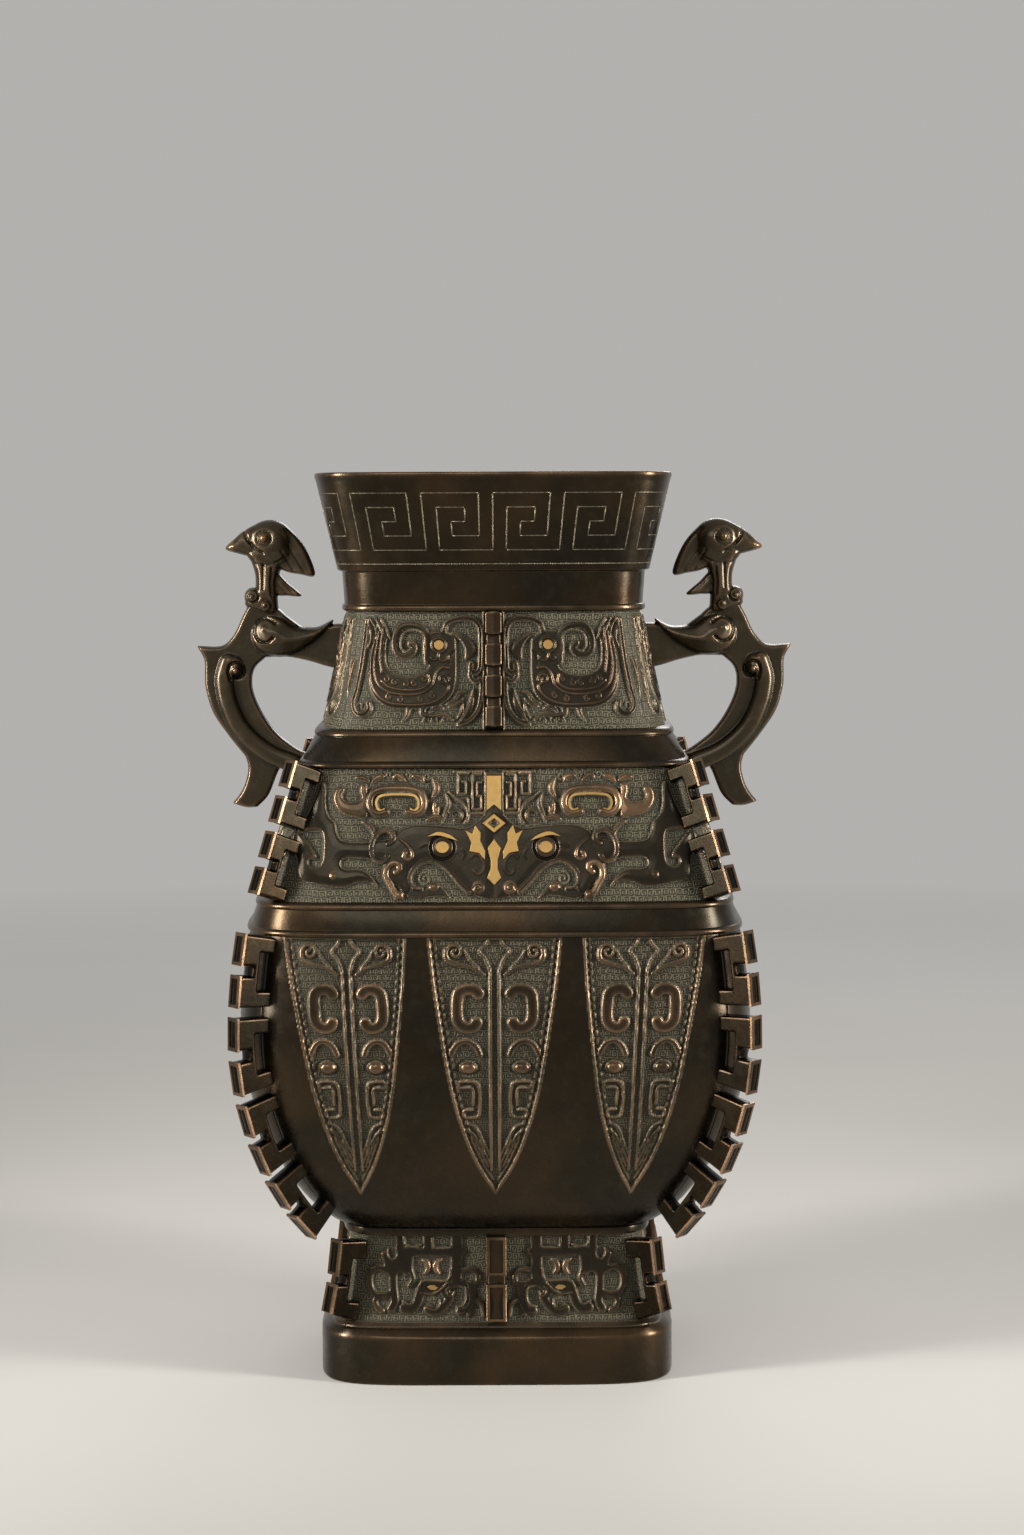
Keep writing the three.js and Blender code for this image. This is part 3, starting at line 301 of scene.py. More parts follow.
    def sample(self, field, x, z):
        """A field's value at any points."""
        column = np.clip((x - self.left) / pixel, 0, len(self.x) - 1.001)
        row = np.clip((z - self.low) / pixel, 0, len(self.z) - 1.001)
        i, j = column.astype(int), row.astype(int)
        u, v = column - i, row - j
        return (field[j, i] * (1 - u) * (1 - v) + field[j, i + 1] * u * (1 - v)
                + field[j + 1, i] * (1 - u) * v + field[j + 1, i + 1] * u * v)


def blurred(field, radius):
    """A field averaged over a square window."""
    width = 2 * radius + 1
    for axis in (0, 1):
        field = np.moveaxis(field, axis, 0)
        total = np.cumsum(np.pad(field, [(radius + 1, radius), (0, 0)], mode="edge"), axis=0)
        field = np.moveaxis((total[width:] - total[:-width]) / width, 0, axis)
    return field


# The vessel's level sections.

def lower_belly(share):
    """How the belly swells from the ring to its widest place, from 0 to 1."""
    return (1 - (1 - share) ** 1.8) ** 0.7


def profile_table():
    """Height, half width and squareness up the outside of the vessel."""
    rows = [(0.0, base_half, base_square), (base_height, base_half, base_square)]

    def curve(low, high, steps, swell):
        for i in range(steps + 1):
            up = i / steps
            rows.append(tuple(a + (b - a) * f for a, b, f in zip(low, high, (up, swell(up), up))))

    ledge = (ledge_height, base_half - ledge_inset, foot_square)
    ring_level = (ring_height, foot_half + ring_step, belly_square)
    widest = (belly_height, belly_half, belly_square)
    curve(ledge, (foot_height, foot_half, foot_square), 24, lambda up: up ** 0.5)
    rows.append((foot_height + 0.3, foot_half + ring_step, belly_square))
    curve(ring_level, widest, 60, lower_belly)
    curve(widest, (band_bottom, band_bottom_half, belly_square), 20, lambda up: up * up)
    rows.append((band_top, band_top_half, mask_square))
    rows.append((shoulder_height, shoulder_half, mask_square))
    neck_low = (neck_bottom, neck_bottom_half, neck_square)
    curve(neck_low, (neck_top, neck_top_half, neck_square), 24, lambda up: up ** 0.74)
    rows.append((collar_height, collar_half, neck_square))
    rows.append((collar_height + 0.3, collar_half + collar_step, neck_square))
    rows.append((rim_height, rim_half, neck_square))
    return np.array(sorted(set(rows)))


profile = profile_table()


def section(z):
    """Half width and squareness at some heights."""
    return np.interp(z, profile[:, 0], profile[:, 1]), np.interp(z, profile[:, 0], profile[:, 2])


def reach_towards(across, deep, half, square, offset=0.0):
    """How far a level section reaches from the axis in some directions."""
    share_across = np.abs(across) / (half + offset)
    share_deep = np.abs(deep) / (half * depth_ratio + offset)
    return (share_across ** square + share_deep ** square) ** (-1 / square)


def face_point(face, share, z):
    """Points of one face; share runs from -1 to 1 between its corners, left to right seen from outside."""
    half, square = section(z)
    corner = 0.5 ** (1 / square)
    deep = half * depth_ratio
    if face in ("front", "back"):
        x = share * corner * half
        y = -deep * (1 - np.abs(x / half) ** square) ** (1 / square)
    else:
        y = share * corner * deep
        x = half * (1 - np.abs(y / deep) ** square) ** (1 / square)
    return (-x, -y) if face in ("back", "left") else (x, y)


# Meshes.

def linked(name, data):
    """A new object in the scene."""
    made = bpy.data.objects.new(name, data)
    bpy.context.scene.collection.objects.link(made)
    return made


def make_mesh(name, points, quads, attributes=None, uv=None, flat=False):
    """A mesh object from millimetre points and quads or triangles."""
    mesh = bpy.data.meshes.new(name)
    points = np.asarray(points, np.float32) * MM
    faces = [np.asarray(f, np.int32) for f in (quads if isinstance(quads, list) else [quads]) if len(f)]
    loops = np.concatenate([f.ravel() for f in faces])
    sizes = np.concatenate([np.full(len(f), f.shape[1], np.int32) for f in faces])
    mesh.vertices.add(len(points))
    mesh.vertices.foreach_set("co", points.ravel())
    mesh.loops.add(len(loops))
    mesh.loops.foreach_set("vertex_index", loops)
    mesh.polygons.add(len(sizes))
    mesh.polygons.foreach_set("loop_start", np.concatenate([[0], np.cumsum(sizes)[:-1]]).astype(np.int32))
    mesh.polygons.foreach_set("loop_total", sizes)
    mesh.update(calc_edges=True)
    mesh.validate()
    mesh.polygons.foreach_set("use_smooth", np.full(len(mesh.polygons), not flat))
    for key, values in (attributes or {}).items():
        layer = mesh.attributes.new(key, "FLOAT", "POINT")
        layer.data.foreach_set("value", np.asarray(values, np.float32))
    if uv is not None:
        layer = mesh.uv_layers.new(name="OFBake")
        layer.data.foreach_set("uv", np.asarray(uv, np.float32)[loops].ravel())
    return linked(name, mesh)


def place(piece, material, slot, *nodes):
    """Gives a piece its material and its body, and hides the nodes that it stands for; the slot is not used.
    """
    piece.data.materials.clear()
    piece.data.materials.append(material)
    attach(piece, "root")
    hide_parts(*nodes)


def soft_edges(piece, width):
    """Rounds a piece's sharp edges a little."""
    bevel = piece.modifiers.new("edges", "BEVEL")
    bevel.width, bevel.segments, bevel.limit_method = width * MM, 2, "ANGLE"


def grid_quads(rows, columns, first=0, flip=False):
    """Quads of a grid of points laid out row by row."""
    row, column = np.meshgrid(np.arange(rows - 1), np.arange(columns - 1), indexing="ij")
    corner = first + (row * columns + column).ravel()
    quads = np.column_stack([corner, corner + 1, corner + columns + 1, corner + columns])
    return quads[:, ::-1] if flip else quads


# The neck's figures, drawn for the right half of a face and mirrored.

def neck_bird_body(relief):
    """A broad crescent below the head that rises again as a tail."""
    outer = smooth([
        (18, 361), (17.6, 350), (18, 341), (19.6, 335), (24, 330.6), (31, 328.4), (39, 327.8), (49, 328.4),
        (55.5, 331.5), (59.4, 337), (60.3, 345), (58.6, 356), (57, 363), (56, 370)])
    inner = smooth([
        (53, 370), (50.5, 364), (51.5, 356), (51, 348.5), (47, 344.6), (40.5, 343.4), (34.5, 344.8),
        (31, 348), (31.8, 352), (31.4, 362)])
    head = smooth([(31.4, 362), (30, 364.5), (25.5, 364.8), (21.5, 363.5), (18, 361)])
    relief.plate(np.vstack([outer, inner, head]), -0.45, bevel=0.8)


def neck_bird_crest(relief):
    """A spiral over the head, with its line."""
    crest = smooth([
        (31.5, 350), (32.2, 356), (32, 362.5), (35.5, 366.6), (43, 367), (46.6, 362.5), (47, 356.5),
        (44.5, 353.4), (40, 353.6), (37.8, 356.6), (39.6, 358.8)])
    relief.ridge(crest, 4.4, -0.15, taper=(0.8, 0.75), drop=0.3)
    line = smooth([
        (32.6, 351), (32.4, 361), (35.5, 364.6), (42, 364.4), (44.4, 361), (44.3, 356.6), (42, 355),
        (39.6, 356)])
    relief.ridge(line, 0.9, 0.3, copper=0.5)


def neck_bird_plumage(relief):
    """Lines along the body and the tail, with small spirals between them."""
    plume_lines = (
        [(21, 347), (24.6, 347.4), (27.4, 344.4), (29.4, 338.8), (34.4, 335.4), (42, 334.6), (50.4, 336),
         (55.2, 340), (56.8, 347), (56, 356), (54.4, 364)],
        [(23.6, 340.4), (21.2, 337.8), (25.4, 332.8), (32, 330.2), (41, 329.8), (50.6, 331), (56.4, 336),
         (58.6, 343), (58.4, 352), (56.8, 360)],
        [(31.2, 344), (30.8, 340), (35.4, 337.2), (42.4, 336.8), (49.4, 338), (53.4, 341)],
        [(53.2, 345), (54, 352), (53.4, 360), (52.6, 366)],
    )
    for points in plume_lines:
        relief.ridge(smooth(points), 1.1, 0.35, copper=0.55)
    relief.ridge(curl((23.9, 341.6), 3.0, 0.7, -160, -1.2), 1.0, 0.3, copper=0.4)
    for x, z, turns in (
            (33.2, 341.8, 1), (37.6, 339.6, -1), (41.8, 339.6, 1), (47, 340.4, -1), (51, 341.8, 1),
            (29.4, 333.8, 1), (34.6, 332.2, -1), (44.6, 332.2, 1), (49.8, 333.4, -1)):
        relief.ridge(curl((x, z), 1.6, 0.4, 90, turns), 0.8, 0.25, copper=0.5)


def neck_bird_feathers(relief):
    """Feathers at the end of the tail."""
    for shift in (0, 2.6, 5.2):
        feather = [(49.5 + shift, 361 - shift), (51.5 + shift, 366), (54 + shift, 370.6)]
        relief.ridge(smooth(feather), 0.9, 0.1, copper=0.3)


def neck_bird_head(relief):
    """The ring of the eye and the beak."""
    relief.ridge(arc((26, 357.9), 3.5, -60, 300), 1.0, 0.35, copper=0.3)
    relief.ridge(smooth([
        (26.2, 354.2), (26, 351.6), (24.2, 350.4), (22.2, 351.2), (21.6, 352.6)]), 1.1, 0.3, copper=0.3)
    relief.ridge(smooth([(26.2, 353), (27.4, 351.2), (29.4, 351), (30, 352.4)]), 1.1, 0.3)
    relief.groove(smooth([(18.6, 355), (20.4, 352.8), (21, 349.4)]), 0.9, 0.4)


def neck_bird_legs(relief):
    """Legs and claws."""
    relief.ridge(smooth([
        (33.4, 329), (33.8, 325.6), (29, 324.4), (24, 325.2), (19.6, 322.6)]), 2.8, -0.3, taper=(1.2, 0.5))
    for x in (23.4, 28.6, 32.4):
        relief.leaf(smooth([(x - 1.6, 322.2), (x, 323.6), (x + 1.6, 321.4)]), 1.7, -0.5)
    relief.ridge(smooth([(40.4, 329), (41.4, 325), (43.6, 322)]), 2.8, -0.3, taper=(1.1, 0.4))
    relief.leaf(smooth([(23.4, 327.6), (27, 329), (31, 326)]), 2.2, -0.5)


def neck_leaves(relief):
    """Leaves and hooks beside the centre flange."""
    outer_line = [
        (23.6, 364.4), (21.6, 368.6), (15.8, 370.4), (9.6, 369.8), (6.4, 366.2), (5.9, 358), (6.1, 350),
        (6.6, 346.2), (8.8, 344.6), (10.8, 346.4), (10.4, 349)]
    relief.ridge(smooth(outer_line), 2.8, -0.2, drop=0.2)
    relief.groove(smooth(outer_line), 0.9, 0.7)
    relief.plate(smooth([
        (22.4, 363.8), (15, 363), (9.8, 358.4), (8.8, 354.4), (13.4, 351), (13.8, 356.4), (17, 361.4),
        (22.4, 363.8)]), -0.3)
    low_line = [
        (10.6, 347), (11, 343), (8.4, 340.4), (5.8, 341.6), (5.9, 334), (7.6, 327), (11.6, 322.4),
        (16.6, 320.6)]
    relief.ridge(smooth(low_line), 2.4, -0.2, drop=0.2)
    relief.groove(smooth(low_line), 0.8, 0.6)
    relief.leaf(smooth([(9.4, 337.4), (11, 330), (13.8, 324.6), (16.4, 320.8)]), 3.2, -0.2)
    for points in (
            [(12.6, 336), (16.6, 335), (19, 331.6), (23, 330)],
            [(14, 333), (18.6, 329.6), (22, 328.6)],
            [(14.6, 331), (15.2, 326.6), (17.6, 323.2)]):
        relief.leaf(smooth(points), 2.0, -0.35)


def neck_corner(relief):
    """Hooks along the corner, and the edge of the figures' field."""
    hook = [
        (60.5, 369.5), (61.6, 360), (63.4, 348), (65.6, 337), (67.4, 330.6), (66.2, 326.4), (62.6, 325),
        (59.4, 327.6), (59.8, 330.4)]
    relief.ridge(smooth(hook), 3.0, -0.2, drop=0.2)
    relief.groove(smooth(hook), 1.0, 0.7)
    relief.ridge(curl((64, 329.4), 2.0, 0.5, -60, 0.8), 0.8, -0.4)
    relief.leaf(smooth([(60.6, 356), (58.6, 361), (59.4, 367), (62, 371)]), 2.4, -0.3)
    relief.leaf(smooth([(66.6, 352), (69.4, 342), (72.6, 331), (73.4, 325)]), 2.2, -0.4)
    relief.ridge([(4.7, neck_top), (4.7, neck_bottom)], 0.9, -0.2, copper=0.3)


def neck_relief(seated):
    """A crested bird that faces the middle; seated adds the strip that a handle stands on."""
    relief = Relief(0, 78, neck_bottom, neck_top, -ground_depth)
    if seated:
        half, low, high = 5.6, neck_bottom - 1, neck_top + 1
        relief.plate([(-half, low), (half, low), (half, high), (-half, high)], -0.1)
    for part in (neck_bird_body, neck_bird_crest, neck_bird_plumage, neck_bird_feathers, neck_bird_head,
                 neck_bird_legs, neck_leaves, neck_corner):
        part(relief)
    return relief


# The mask's figures.

mask_eye = (24.4, 263.6)
horn_path = (
    (40.8, 280), (36.8, 279.2), (33.8, 281.4), (33.1, 285), (35, 289), (39.6, 290.6), (46, 290.9),
    (52.4, 290.6), (57, 289), (58.7, 285), (58, 281.4), (55, 279.2), (51, 280))
horn_line = (
    (39.8, 281.3), (37.8, 280.5), (36.1, 281.8), (35.6, 284.6), (37, 287.1), (40, 288), (46, 288.2),
    (51.4, 287.9), (54.4, 286.9), (55.7, 284.4), (55.1, 281.9), (53.4, 280.5), (51.6, 281.2))


def mask_face(relief):
    """The broad face with its cheek and its lip."""
    face = smooth([
        (0, 282), (4.2, 279), (8.2, 275), (13.2, 272.4), (21, 273), (29, 273.8), (38, 273.8), (44, 271.6),
        (48, 267.6)])
    cheek = smooth([
        (58, 266), (60, 258.6), (53, 256.8), (51, 249), (45.6, 245.6), (42, 241.6), (39, 244.4),
        (40.2, 249), (38.8, 253.6), (34, 257), (28, 257.2), (21.6, 253.6), (15.6, 247), (11, 242.4),
        (5, 240), (0, 239.4)])
    relief.plate(np.vstack([face, cheek]), -0.35, bevel=1.1, crown=0.25)
    relief.plate(smooth([
        (20.6, 240), (25, 245.4), (28.6, 247.8), (31, 245.6), (33, 243.8), (38, 244.8), (41.6, 241.6),
        (38, 239.6), (30, 240.8), (25.6, 241), (20.6, 240)]), -0.45)


def mask_body(relief):
    """The body that runs to the corner, with the claw cut into it."""
    body_top = [
        (56, 266), (70.6, 266.4), (74, 270), (75.2, 274.6), (78.6, 278.4), (79.8, 284), (80, 291),
        (81.8, 293.6), (83.8, 290.4), (86.4, 284), (91, 276), (97, 270)]
    body_low = [
        (97, 262), (94, 258), (93.6, 252), (91.8, 248.4), (84.6, 246.8), (76.6, 245.4), (70.6, 245.2),
        (64.6, 247.4), (58.8, 247.6), (54.6, 245), (58, 250.2), (62.6, 253.2), (70.6, 253.6), (72.4, 256.2),
        (70, 258.8), (58, 258.6), (56, 262)]
    relief.plate(np.vstack([smooth(body_top), smooth(body_low)]), -0.2, bevel=1.6, crown=0.45)
    claw = smooth([
        (91, 271.4), (82.6, 271.6), (80.4, 268), (80.6, 258.6), (82.2, 254.6), (85.6, 253.4), (88.4, 255.6),
        (87.6, 258.6), (84.4, 259), (86.6, 262.6), (90.6, 267), (92.6, 269.6), (91, 271.4)])
    relief.sink(claw, -ground_depth, bevel=1.0)
    relief.dome((76, 250.4), 1.8, 1.8, 1.0, 1.6, copper=0.5)


def mask_horns(relief):
    """Broad copper bands that hold the gold lines, with leaves and curls round them and the ear."""
    horn = smooth(horn_path)
    relief.ridge(horn, 5.0, 0.9, taper=(0.7, 0.7), drop=0.8, copper=0.85)
    relief.ridge(smooth(horn_line), 1.7, 0.25, drop=0.2)
    for points in (
            [(29.6, 286), (27, 291), (29.4, 296)],
            [(33, 293.6), (35, 296.4), (39, 296.6)],
            [(41.6, 294), (45.6, 297.2), (48, 295)],
            [(51.4, 296.6), (55, 296.2), (58, 293.4)],
            [(58.4, 294), (62, 295.8), (66, 296)],
            [(26.2, 283), (27.4, 280), (28.6, 285)]):
        relief.leaf(smooth(points), 3.0, -0.15, copper=0.8, power=0.7)
    for x, z in ((31.5, 296.5), (40.2, 297), (49.6, 297.4), (61, 292)):
        relief.ridge(curl((x, z), 1.8, 0.5, 200, 1.1), 0.8, -0.6)
    ear = smooth([
        (60, 278.2), (66.6, 277.8), (73, 280.2), (76, 284.6), (75.8, 289), (73.4, 291.8), (70.8, 290.6),
        (72, 287.6), (70.6, 285), (67.6, 284.4), (64.6, 284.6), (62.8, 286.6), (63.6, 290), (62.6, 293),
        (60, 291), (60, 278.2)])
    relief.plate(ear, -0.05, bevel=1.2, crown=0.4, copper=0.7)
    relief.leaf(smooth([(23.6, 276.4), (27.8, 277.8), (32, 276)]), 2.8, -0.2, copper=0.5)


def mask_frets(relief):
    """Squared frets beside the forehead bar, and curls between them and the horns."""
    for points in (
            [(6, 297.4), (10.2, 297.4), (10.2, 281.2), (6, 281.2), (6, 287.4), (8.1, 287.4), (8.1, 293.6),
             (6, 293.6)],
            [(12.2, 297.8), (17, 297.8), (17, 288.4), (13.2, 288.4), (13.2, 294), (15, 294)],
            [(4.6, 298.8), (19, 298.8)],
            [(4.6, 279.4), (11.6, 279.4)],
            [(12, 286), (12, 280.6)]):
        relief.ridge(points, 1.05, 0.0, copper=0.75)
    relief.ridge(smooth([
        (21.6, 289.4), (18, 286.2), (14, 283.6), (12.2, 279), (13.4, 275)]), 1.9, -0.2, taper=(0.4, 1))
    relief.ridge(smooth([(21, 279.6), (18, 281), (15.2, 279.4), (15.6, 276.6), (18.6, 276)]), 1.6, -0.2)
    relief.leaf(smooth([(23, 289), (21.4, 284), (23.2, 279), (24.6, 274.6)]), 2.4, -0.3)


def mask_hooks(relief):
    """The hooks of ear, brow and jaw, with bright edges."""
    hook = smooth([
        (50, 265.2), (47.6, 267), (48, 270), (51.6, 271.4), (55.4, 269.6), (57.6, 265.6), (57.8, 260.6),
        (55.6, 257.4), (52, 257.2), (50.2, 259.6)])
    relief.ridge(hook, 3.1, 0.75, taper=(0.7, 0.7), copper=0.35)
    relief.groove(hook, 0.9, 0.55)
    relief.leaf(smooth([(56.4, 266), (57.2, 271), (59.8, 274.2), (63, 275.6)]), 2.2, 0.3, copper=0.3)
    brow_hook = smooth([
        (44.8, 267.6), (41.2, 264.8), (39, 262), (38.6, 259.2), (40.8, 257.8), (42.6, 259.2), (41.8, 261)])
    relief.ridge(brow_hook, 2.3, 0.5, taper=(0.3, 1), copper=0.7)
    jaw_hook = smooth([
        (46.2, 252), (44.6, 253.6), (45.4, 256), (48.4, 256.2), (50.8, 253.4), (51, 250), (49, 246.4),
        (46.8, 242.6), (44.8, 240.8)])
    relief.ridge(jaw_hook, 2.9, 0.55, copper=0.8)
    relief.dome((45, 241.4), 2.4, 2.2, 0.8, 1.4, copper=0.8)


def mask_snout(relief):
    """The snout's edge, its curls and the nostrils."""
    snout = smooth([
        (12, 243), (17, 248), (22, 253.6), (28, 257), (34, 256.6), (38.6, 252.8), (39.8, 248.4), (38, 245),
        (34.2, 244.4)])
    relief.ridge(snout, 3.0, 0.35, taper=(1, 0.6), copper=0.2)
    relief.groove(snout, 0.9, 0.5)
    relief.ridge(curl((32.6, 249), 3.4, 0.6, 100, -1.4), 0.8, -0.7)
    relief.dome((28.4, 245.2), 2.6, 2.2, 0.35, 1.3, copper=0.8)
    relief.dome((7.4, 244.6), 3.3, 3.2, 0.9, 1.8, copper=0.6)
    relief.groove(curl((7.4, 244.6), 2.3, 0.5, 0, 1.2), 0.8, 0.5)
    relief.ridge(smooth([
        (11, 258.6), (9.4, 260.3), (6.8, 259.4), (5, 256), (5.2, 252.6), (7.6, 251), (9.4, 252.4)]), 1.7,
        0.25, copper=0.2)
    relief.leaf(smooth([(16, 263), (14, 260.4), (15.2, 257.4)]), 1.7, 0.1)


def mask_eyeball(relief):
    """A ball in a socket, with pointed corners."""
    ex, ez = mask_eye
    relief.leaf(smooth([(ex + 3, ez + 0.2), (ex + 7, ez + 1.6), (ex + 11, ez - 0.2)]), 3.4, 0.05)
    relief.groove(arc(mask_eye, 5.6, 0, 360), 1.7, 1.2)
    relief.dome(mask_eye, 4.8, 4.6, 0.9, 2.2, copper=0.3)
    relief.ridge(arc(mask_eye, 6.8, 200, 330), 0.9, 0.1)


def mask_gold_bed(relief):
    """The raised beds of the forehead's gold."""
    relief.plate([(-6.8, 274.5), (0, 279.9), (6.8, 274.5), (0, 269.1)], -0.05, bevel=0.5)
    relief.plate([(-4.6, 278.6), (4.6, 278.6), (4.6, 298.6), (-4.6, 298.6)], -0.35, bevel=0.5)
    relief.sink([(-2.6, 274.5), (0, 276.6), (2.6, 274.5), (0, 272.4)], -0.7)


def mask_plain_nose(relief):
    """Forehead, lozenge, nose and brow in bronze, where no gold is let in."""
    relief.plate([(-5.6, 280.5), (0, 283.3), (5.6, 280.5), (5.6, 300), (-5.6, 300)], -0.1, bevel=0.6)
    relief.plate([(-5.4, 274.5), (0, 278.7), (5.4, 274.5), (0, 270.3)], 0.2, bevel=0.6)
    relief.sink([(-2.6, 274.5), (0, 276.6), (2.6, 274.5), (0, 272.4)], -1.0)
    relief.plate([
        (0, 246.9), (3.1, 250.7), (1.5, 254.5), (1.3, 258.5), (3.15, 264.3), (0, 267.3), (-3.15, 264.3),
        (-1.3, 258.5), (-1.5, 254.5), (-3.1, 250.7)], 0.25, bevel=0.6)
    relief.plate([
        (4, 258.5), (8, 261.1), (11.5, 263.1), (10.4, 266.1), (13, 270.7), (8.2, 268.3), (8.4, 273.5),
        (5.6, 269.1)], 0.2, bevel=0.6)
    relief.leaf(smooth([(16.7, 267.1), (24, 270.6), (31.8, 268.2)]), 2.2, 0.2)


def mask_relief(inlaid):
    """A masked face with horns and a body to each side; inlaid is False where no gold is let in."""
    relief = Relief(0, 112, band_top, shoulder_height, -ground_depth)
    for part in (mask_face, mask_body, mask_horns, mask_frets, mask_hooks, mask_snout, mask_eyeball,
                 mask_gold_bed if inlaid else mask_plain_nose):
        part(relief)
    return relief


# The hanging blades. Each is drawn upright in its own middle: height, and half width there.

blade_outline = (
    (221.6, 32.0), (200, 29.6), (180, 26.6), (160, 23.4), (150, 21.5), (140, 19.2), (130, 16.3),
    (120, 12.8), (110, 8.4), (102, 3.9), (96.6, 0.0))
blade_patina = 0.62


class BladeHalf:
    """One half of a hanging blade, which puts its drawn points in their place on the face."""

    def __init__(self, top_x, tip_x, wide, side):
        self.top_x, self.tip_x, self.wide, self.side = top_x, tip_x, wide, side

    def at(self, x, z):
        """A point of the half: out from the stem and up."""
        top, tip = blade_outline[0][0], blade_outline[-1][0]
        share = (z - tip) / (top - tip)
        return self.tip_x + (self.top_x - self.tip_x) * share + self.side * x * self.wide, z

    def line(self, points, step=0.8):
        """A rounded line through points of the half."""
        return smooth([self.at(x, z) for x, z in points], step)


def blade_border(relief, half):
    """The copper border, with a row of beads inside it."""
    border = half.line([(max(w - 0.9, 0), z) for z, w in blade_outline])
    relief.ridge(border, 1.5, 0.2, drop=0.5, copper=0.75)
    beads = half.line([(max(w - 3.6, 0), z) for z, w in blade_outline if w > 8], step=1.9)
    for start, end in zip(beads[::2], beads[1::2]):
        relief.ridge([start, start + (end - start) * 0.8], 1.1, -0.25, copper=0.6)


def blade_top(relief, half):
    """The stem and the curl and leaves at its top."""
    stem = half.line([
        (2.9, 221), (4, 218.6), (7.2, 215.4), (4.4, 212), (2.5, 207), (2.1, 200), (2.1, 140), (2, 108)])
    relief.ridge(stem, 1.2, -0.2, copper=0.8)
    start = -40 if half.side > 0 else 220
    relief.ridge(curl(half.at(18.6, 215.2), 4.2, 0.8, start, half.side * 1.4), 1.4, 0.0, copper=0.7)
    leaf = half.line([(4.6, 204.4), (10, 207.8), (18, 209.6), (22.6, 212), (22.8, 216)])
    relief.ridge(leaf, 2.4, 0.0, taper=(0.5, 1), copper=0.5)
    relief.ridge(half.line([(7.6, 207.6), (12, 212), (14.6, 216.2)]), 1.1, -0.2, copper=0.5)


def blade_hook(relief, half):
    """The broad grooved hook with a line inside it."""
    hook = half.line([
        (7.6, 195.6), (9.6, 197.4), (13.6, 197.6), (16.6, 196), (17.6, 192.8), (17.7, 185), (16.4, 181.4),
        (13.4, 179.6), (10, 180), (8.6, 182)])
    relief.ridge(hook, 6.8, 0.0, taper=(0.8, 0.8), copper=0.8)
    relief.groove(hook, 3.8, 0.42)
    relief.ridge(hook, 0.8, -0.35, copper=0.3)


def blade_eye(relief, half):
    """The brow and the eye in its socket."""
    brow = half.line([(7, 166.6), (9, 170.6), (13.4, 173.2), (18, 171.6), (20.6, 167)])
    relief.ridge(brow, 3.2, 0.0, copper=0.6, taper=(0.8, 0.8))
    relief.groove(brow, 0.8, 0.45)
    eye = half.at(12.6, 160.2)
    relief.groove(arc(eye, 5.2, 0, 360, squash=0.68), 1.4, 0.7)
    relief.dome(eye, 4.0, 3.1, 0.8, 2.4, copper=0.6)


def blade_tip(relief, half):
    """Squared hooks below the eye, and the lines that follow the edge down to the tip."""
    for points, width in (([(18, 150.6), (16.4, 153.4), (9.6, 153.2), (7.6, 150.4), (7.4, 139), (8.6, 136),
                            (14.4, 135.8), (14.8, 139.2), (10.6, 139.6)], 1.3),
                          ([(16.4, 150.4), (10.6, 150), (10.2, 142)], 1.2)):
        relief.ridge(half.line(points), width, -0.05, copper=0.7)
    relief.ridge(half.line([(5.4, 117), (6.6, 125), (9.6, 130.6), (14.2, 132.6)]), 1.4, -0.3, copper=0.25)
    relief.leaf(half.line([(7.6, 121), (10.4, 126.6), (14.6, 130)]), 2.2, -0.4)
    tip_widths = ((124, 14.4), (116, 11), (110, 8.4), (103, 4.4))
    for inset in (3.2, 5.0, 6.8, 8.6):
        nested = [half.at(w - inset, z) for z, w in tip_widths if w > inset + 0.3]
        if len(nested) > 1:
            relief.ridge(nested, 0.95, -0.3, copper=0.45)


def draw_blade(relief, top_x, tip_x, wide):
    """One hanging blade: a sunk panel with its figures to both sides of a stem; returns its outline."""
    left, right = (BladeHalf(top_x, tip_x, wide, side) for side in (-1, 1))
    outline = [(w, z) for z, w in blade_outline]
    edge = np.vstack([left.line(outline), right.line(outline)[::-1][1:]])
    relief.sink(edge, -ground_depth, bevel=1.2)
    for half in (left, right):
        for part in (blade_border, blade_top, blade_hook, blade_eye, blade_tip):
            part(relief, half)
    return edge


def blade_relief(centres, right_end, wide):
    """The lower body of one face: plain bronze with hanging blades let into it."""
    relief = Relief(-right_end, right_end, ring_height, band_bottom, 0)
    ground = np.zeros(relief.height.shape, bool)
    for top, tip in centres:
        edge = draw_blade(relief, top, tip, wide if top else 1.0)
        window, grid_x, grid_z = relief.window(edge, 1)
        ground[window] |= relief.inside(edge, grid_x, grid_z)
    relief.panel = np.where(ground, blade_patina, 0.0)
    relief.figure = np.where(ground, relief.figure, 1.0)
    return relief


# The foot's figures.

foot_top = 0.0


def dragon_line(points):
    """A rounded line of the dragon, which is drawn a little further out and lower than it stands."""
    return smooth([(x - 4, z + 1.5) for x, z in points])


